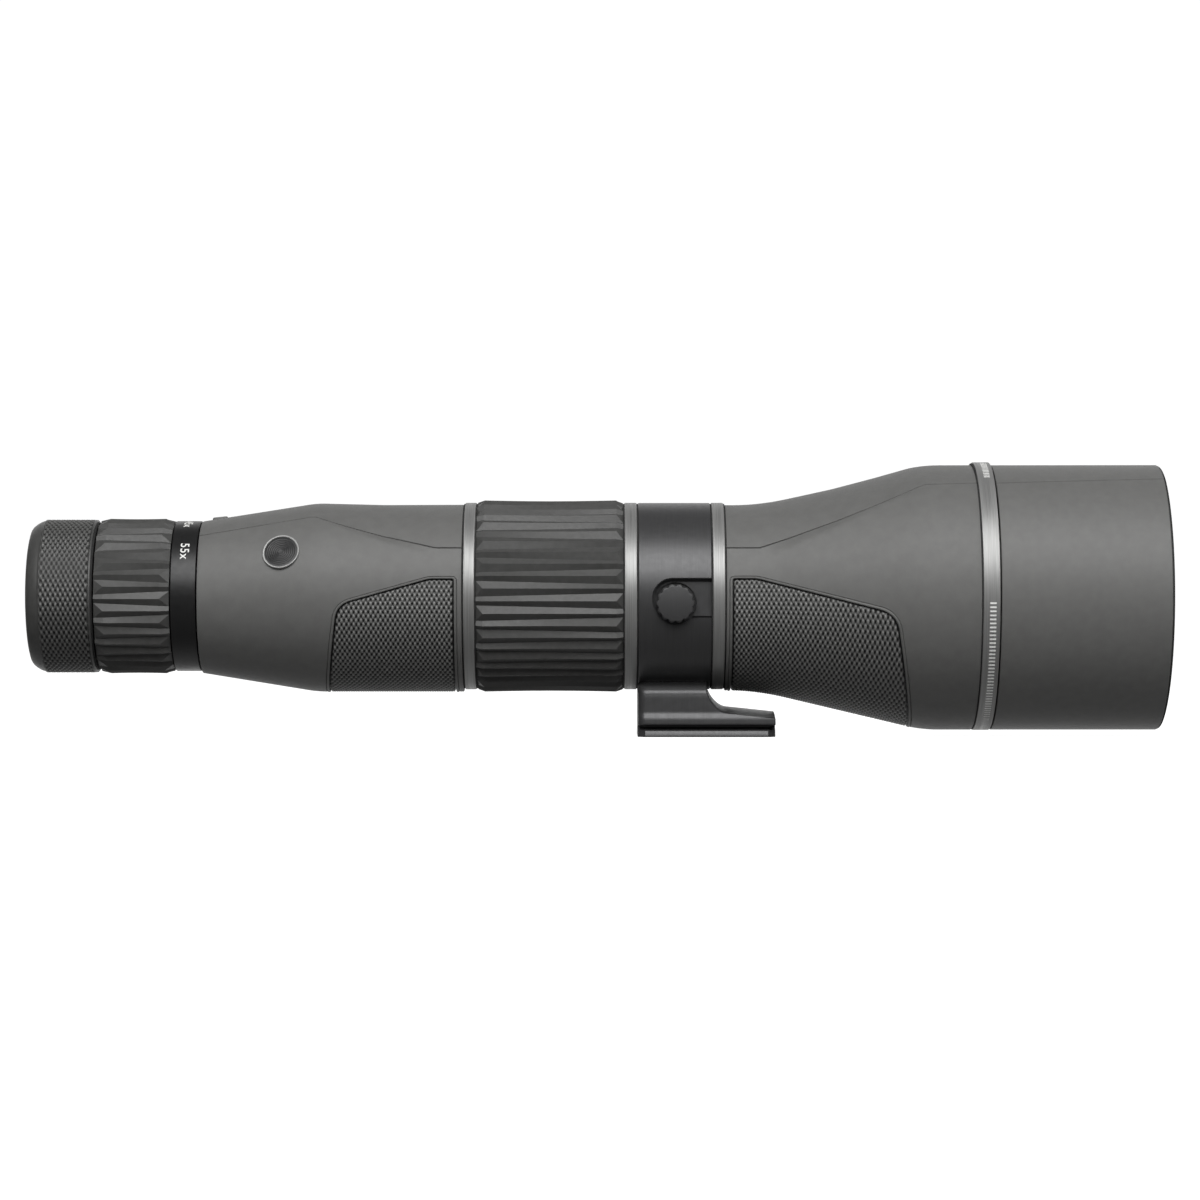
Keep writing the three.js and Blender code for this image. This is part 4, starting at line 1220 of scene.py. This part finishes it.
def make_foot(finishes):
    """The foot under the collar: a neck that flares into a base plate with a toe, and a dovetail."""
    half_length = seen_from_side("tripod_collar")[2]
    bottom = -AXIS_Z / MM
    curve_length, curve_height = 8.2, 8.3
    toe_rear_top, toe_front_top = -41.5, -43.2
    groove_top = -45.5
    crown = 2.2  # how far the middle of the toe's top stands above its sides
    front_bevel = 0.3

    def front_edge(z):
        """Where the foot ends in front at a height: the neck's hollow curve, then the toe's sloping top."""
        if z > toe_rear_top:
            share = math.sqrt(min((z - toe_rear_top) / curve_height, 1))
            return curve_length * (1 - share) ** 1.25
        return float(np.interp(z, [toe_front_top, toe_rear_top], [half_length, curve_length]))

    def plan(z, width):
        """The outline seen from above at a height. It runs from the near side round the rear to the far side
        and back along the front, which is crowned. The corners are cut straight on the dovetail and round
        above it."""
        corner = 2.6 if z < groove_top else 3.4
        near_rear = np.array(arc((-half_length + corner, -width + corner), corner, 270, 180, 8))
        if z < groove_top:
            near_rear = np.linspace(near_rear[0], near_rear[-1], 8)
        cut = corner if z < groove_top else front_bevel
        ys = np.linspace(width - cut, cut - width, 15)
        fronts = [front_edge(z - crown * (1 - (y / width) ** 2)) for y in ys]
        outline = [tuple(point) for point in near_rear] + [(x, -y) for x, y in near_rear[::-1]]
        outline += [(fronts[0] - cut, width)] + list(zip(fronts, ys)) + [(fronts[-1] - cut, -width)]
        return np.array([(x, y, z) for x, y in outline])

    half = rounded_path(
        [
            (15, -27), (13.4, -30.3), (13.8, -30.8), (17.2, -31.6), (18.9, -33.5), (19.15, -35.5),
            (19.2, -41.1), (20.0, -43.0), (20.1, -45.3), (15.8, groove_top), (15.8, -46.2), (18.3, -47.3),
            (19, -49.0), (19, bottom + 0.2), (18.8, bottom),
        ],
        {3: 0.9, 4: 0.9, 5: 0.6, 6: 0.6, 7: 0.7, 8: 0.6, 11: 0.3},
    )
    widths = np.array(half)[::-1]
    levels = {z for _, z in half} | {toe_rear_top + curve_height * t * t for t in np.linspace(0, 1, 12)}
    levels |= set(np.linspace(toe_front_top, toe_rear_top + 2 * crown, 18))
    rings = [plan(z, float(np.interp(z, widths[:, 1], widths[:, 0]))) for z in sorted(levels)]
    vertices, faces = rings_mesh(rings, closed_along=False)
    count = len(rings[0])
    faces += [tuple(range(count)), tuple(range(len(vertices) - count, len(vertices)))]
    foot = solid_piece("tripod_foot", vertices, faces)
    reach, bore = 60, 28.9
    tube = turned([(-reach, 0), (-reach, bore), (reach, bore), (reach, 0)], 120)
    cut_away(foot, solid_piece("bore", *tube))
    for x, size in ((-10, 6.6), (10, 5.1)):  # room for the two threaded inserts
        cut_away(foot, extruded("hole", circle((x, 0), size), bottom - 1, bottom + 7, lambda *point: point))
    to_frame(foot)
    dress(foot, finishes["collar"], "tripod_collar", "tripod_collar", sharp=35)


def make_knob(finishes):
    """The lock knob: a low disc with a scalloped edge and a slightly domed face."""
    knob_x, knob_z, size = seen_from_side("lock_knob")
    low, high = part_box("lock_knob")
    inner, outer = -high.y / MM, -low.y / MM
    scallops, scallop_steps, scallop_depth = 14, 14, 0.95
    levels = [  # distance from the axis, share of the knob's size, share of the scallops' depth
        (inner, 0.0, 0), (inner, 0.93, 0.6), (inner + 0.3, 1.0, 1),
        (outer - 1.3, 1.0, 1), (outer - 0.9, 0.98, 0.95), (outer - 0.6, 0.93, 0.5),
        (outer - 0.5, 0.89, 0.15), (outer - 0.45, 0.84, 0), (outer - 0.28, 0.66, 0),
        (outer - 0.12, 0.44, 0), (outer - 0.03, 0.22, 0), (outer, 0.0, 0),
    ]
    angles = full_turn(scallop_steps * scallops)
    wave = np.abs(np.cos(scallops * angles / 2)) ** 0.8
    rings = []
    for distance, share, depth in levels:
        r = size * share - scallop_depth * depth * (1 - wave)
        place = [knob_x + r * np.cos(angles), np.full_like(angles, -distance), knob_z + r * np.sin(angles)]
        rings.append(np.stack(place, axis=1))
    vertices, faces = rings_mesh(rings, closed_along=False)
    add_piece("lock_knob_disc", vertices, faces, finishes["knob"], "lock_knob", "lock_knob", sharp=35)


# ---------------------------------------------------------------- inner pieces

def finish_inner_pieces(finishes):
    """The CAD nodes that stay get their slot's finish."""
    own_names = {
        "black_rubber": "rubber", "grip_rubber": "grip", "armor_rubber": "armor", "gray_coat": "coat",
        "black_metal": "anodised", "tube_metal": "tube", "bare_trim": "trim", "matt_black": "flat_black",
        "cage_polymer": "cage", "optical_glass": "glass",
    }
    for node, piece in frame["nodes"].items():
        slot = SLOT_OF[node]
        piece.data.materials.clear()
        piece.data.materials.append(finishes[own_names.get(slot, slot)])


finishes = {
    "armor": make_finish(
        "armor_rubber", (gray(0.118), gray(0.132)), (240, 5), (0.52, 0.6), (900, 3), (5200, 3), 0.00003,
    ),
    "coat": make_finish(
        "gray_coat", (gray(0.12), gray(0.134)), (300, 5), (0.5, 0.57), (1200, 3), (6500, 3), 0.00002,
    ),
    "grip": grip_finish("grip_rubber", 0.05),
    # the pad and eyecup finishes paint shade into the pits of their bumps
    "pad": grip_finish("pad_rubber", 0.15, pit_shade_share=0.03, smooth=0.34),
    "eyecup": grip_finish("eyecup_rubber", 0.085, pit_shade_share=0.03, smooth=0.36),
    "rubber": grip_finish("black_rubber", 0.035),
    "cage": grip_finish("cage_polymer", 0.015),
    "anodised": anodised_finish("black_metal", 0.014, 0.32, 0.42),
    "collar": anodised_finish("collar_metal", 0.07, 0.36, 0.44, metallic=0.55),
    "knob": anodised_finish("knob_metal", 0.05, 0.45, 0.55, metallic=0.4),
    "tube": anodised_finish("tube_metal", 0.05, 0.4, 0.5),
    "trim": brushed_finish("bare_trim", 0.3, 0.6, 0.42, 0.56),
    "steel": brushed_finish("steel", 0.55, 1.0, 0.3, 0.42),
    "flat_black": make_finish(
        "matt_black", (gray(0.012), gray(0.022)), (900, 4), (0.75, 0.9), (1500, 3), (5000, 3), 0.00003,
    ),
    "nylon": make_finish(
        "nylon", ((0.6, 0.58, 0.52), (0.68, 0.66, 0.6)), (350, 4), (0.45, 0.6), (900, 3),
        (3000, 3), 0.00001,
    ),
    "print": make_finish(
        "dial_print", ((0.72, 0.72, 0.7), (0.86, 0.86, 0.84)), (1800, 4), (0.5, 0.65), (2500, 3),
    ),
    "glass": make_finish(
        "optical_glass", ((0.6, 0.8, 0.72), (0.68, 0.86, 0.79)), (40, 2), (0.0, 0.008), (120, 2),
        transmission_weight=1.0, ior=1.52, coat_weight=0.25, coat_tint=(0.8, 0.92, 0.88, 1),
    ),
}

make_camera()
make_stage()
for make in (
    finish_inner_pieces, make_housings, make_grips, make_eyecup, make_dial, make_sunshade, make_objective,
    make_trim, make_seals, make_badge, make_index, make_trim_marks, make_collar, make_foot, make_knob,
):
    make(finishes)
bpy.context.scene.view_settings.view_transform = "Standard"
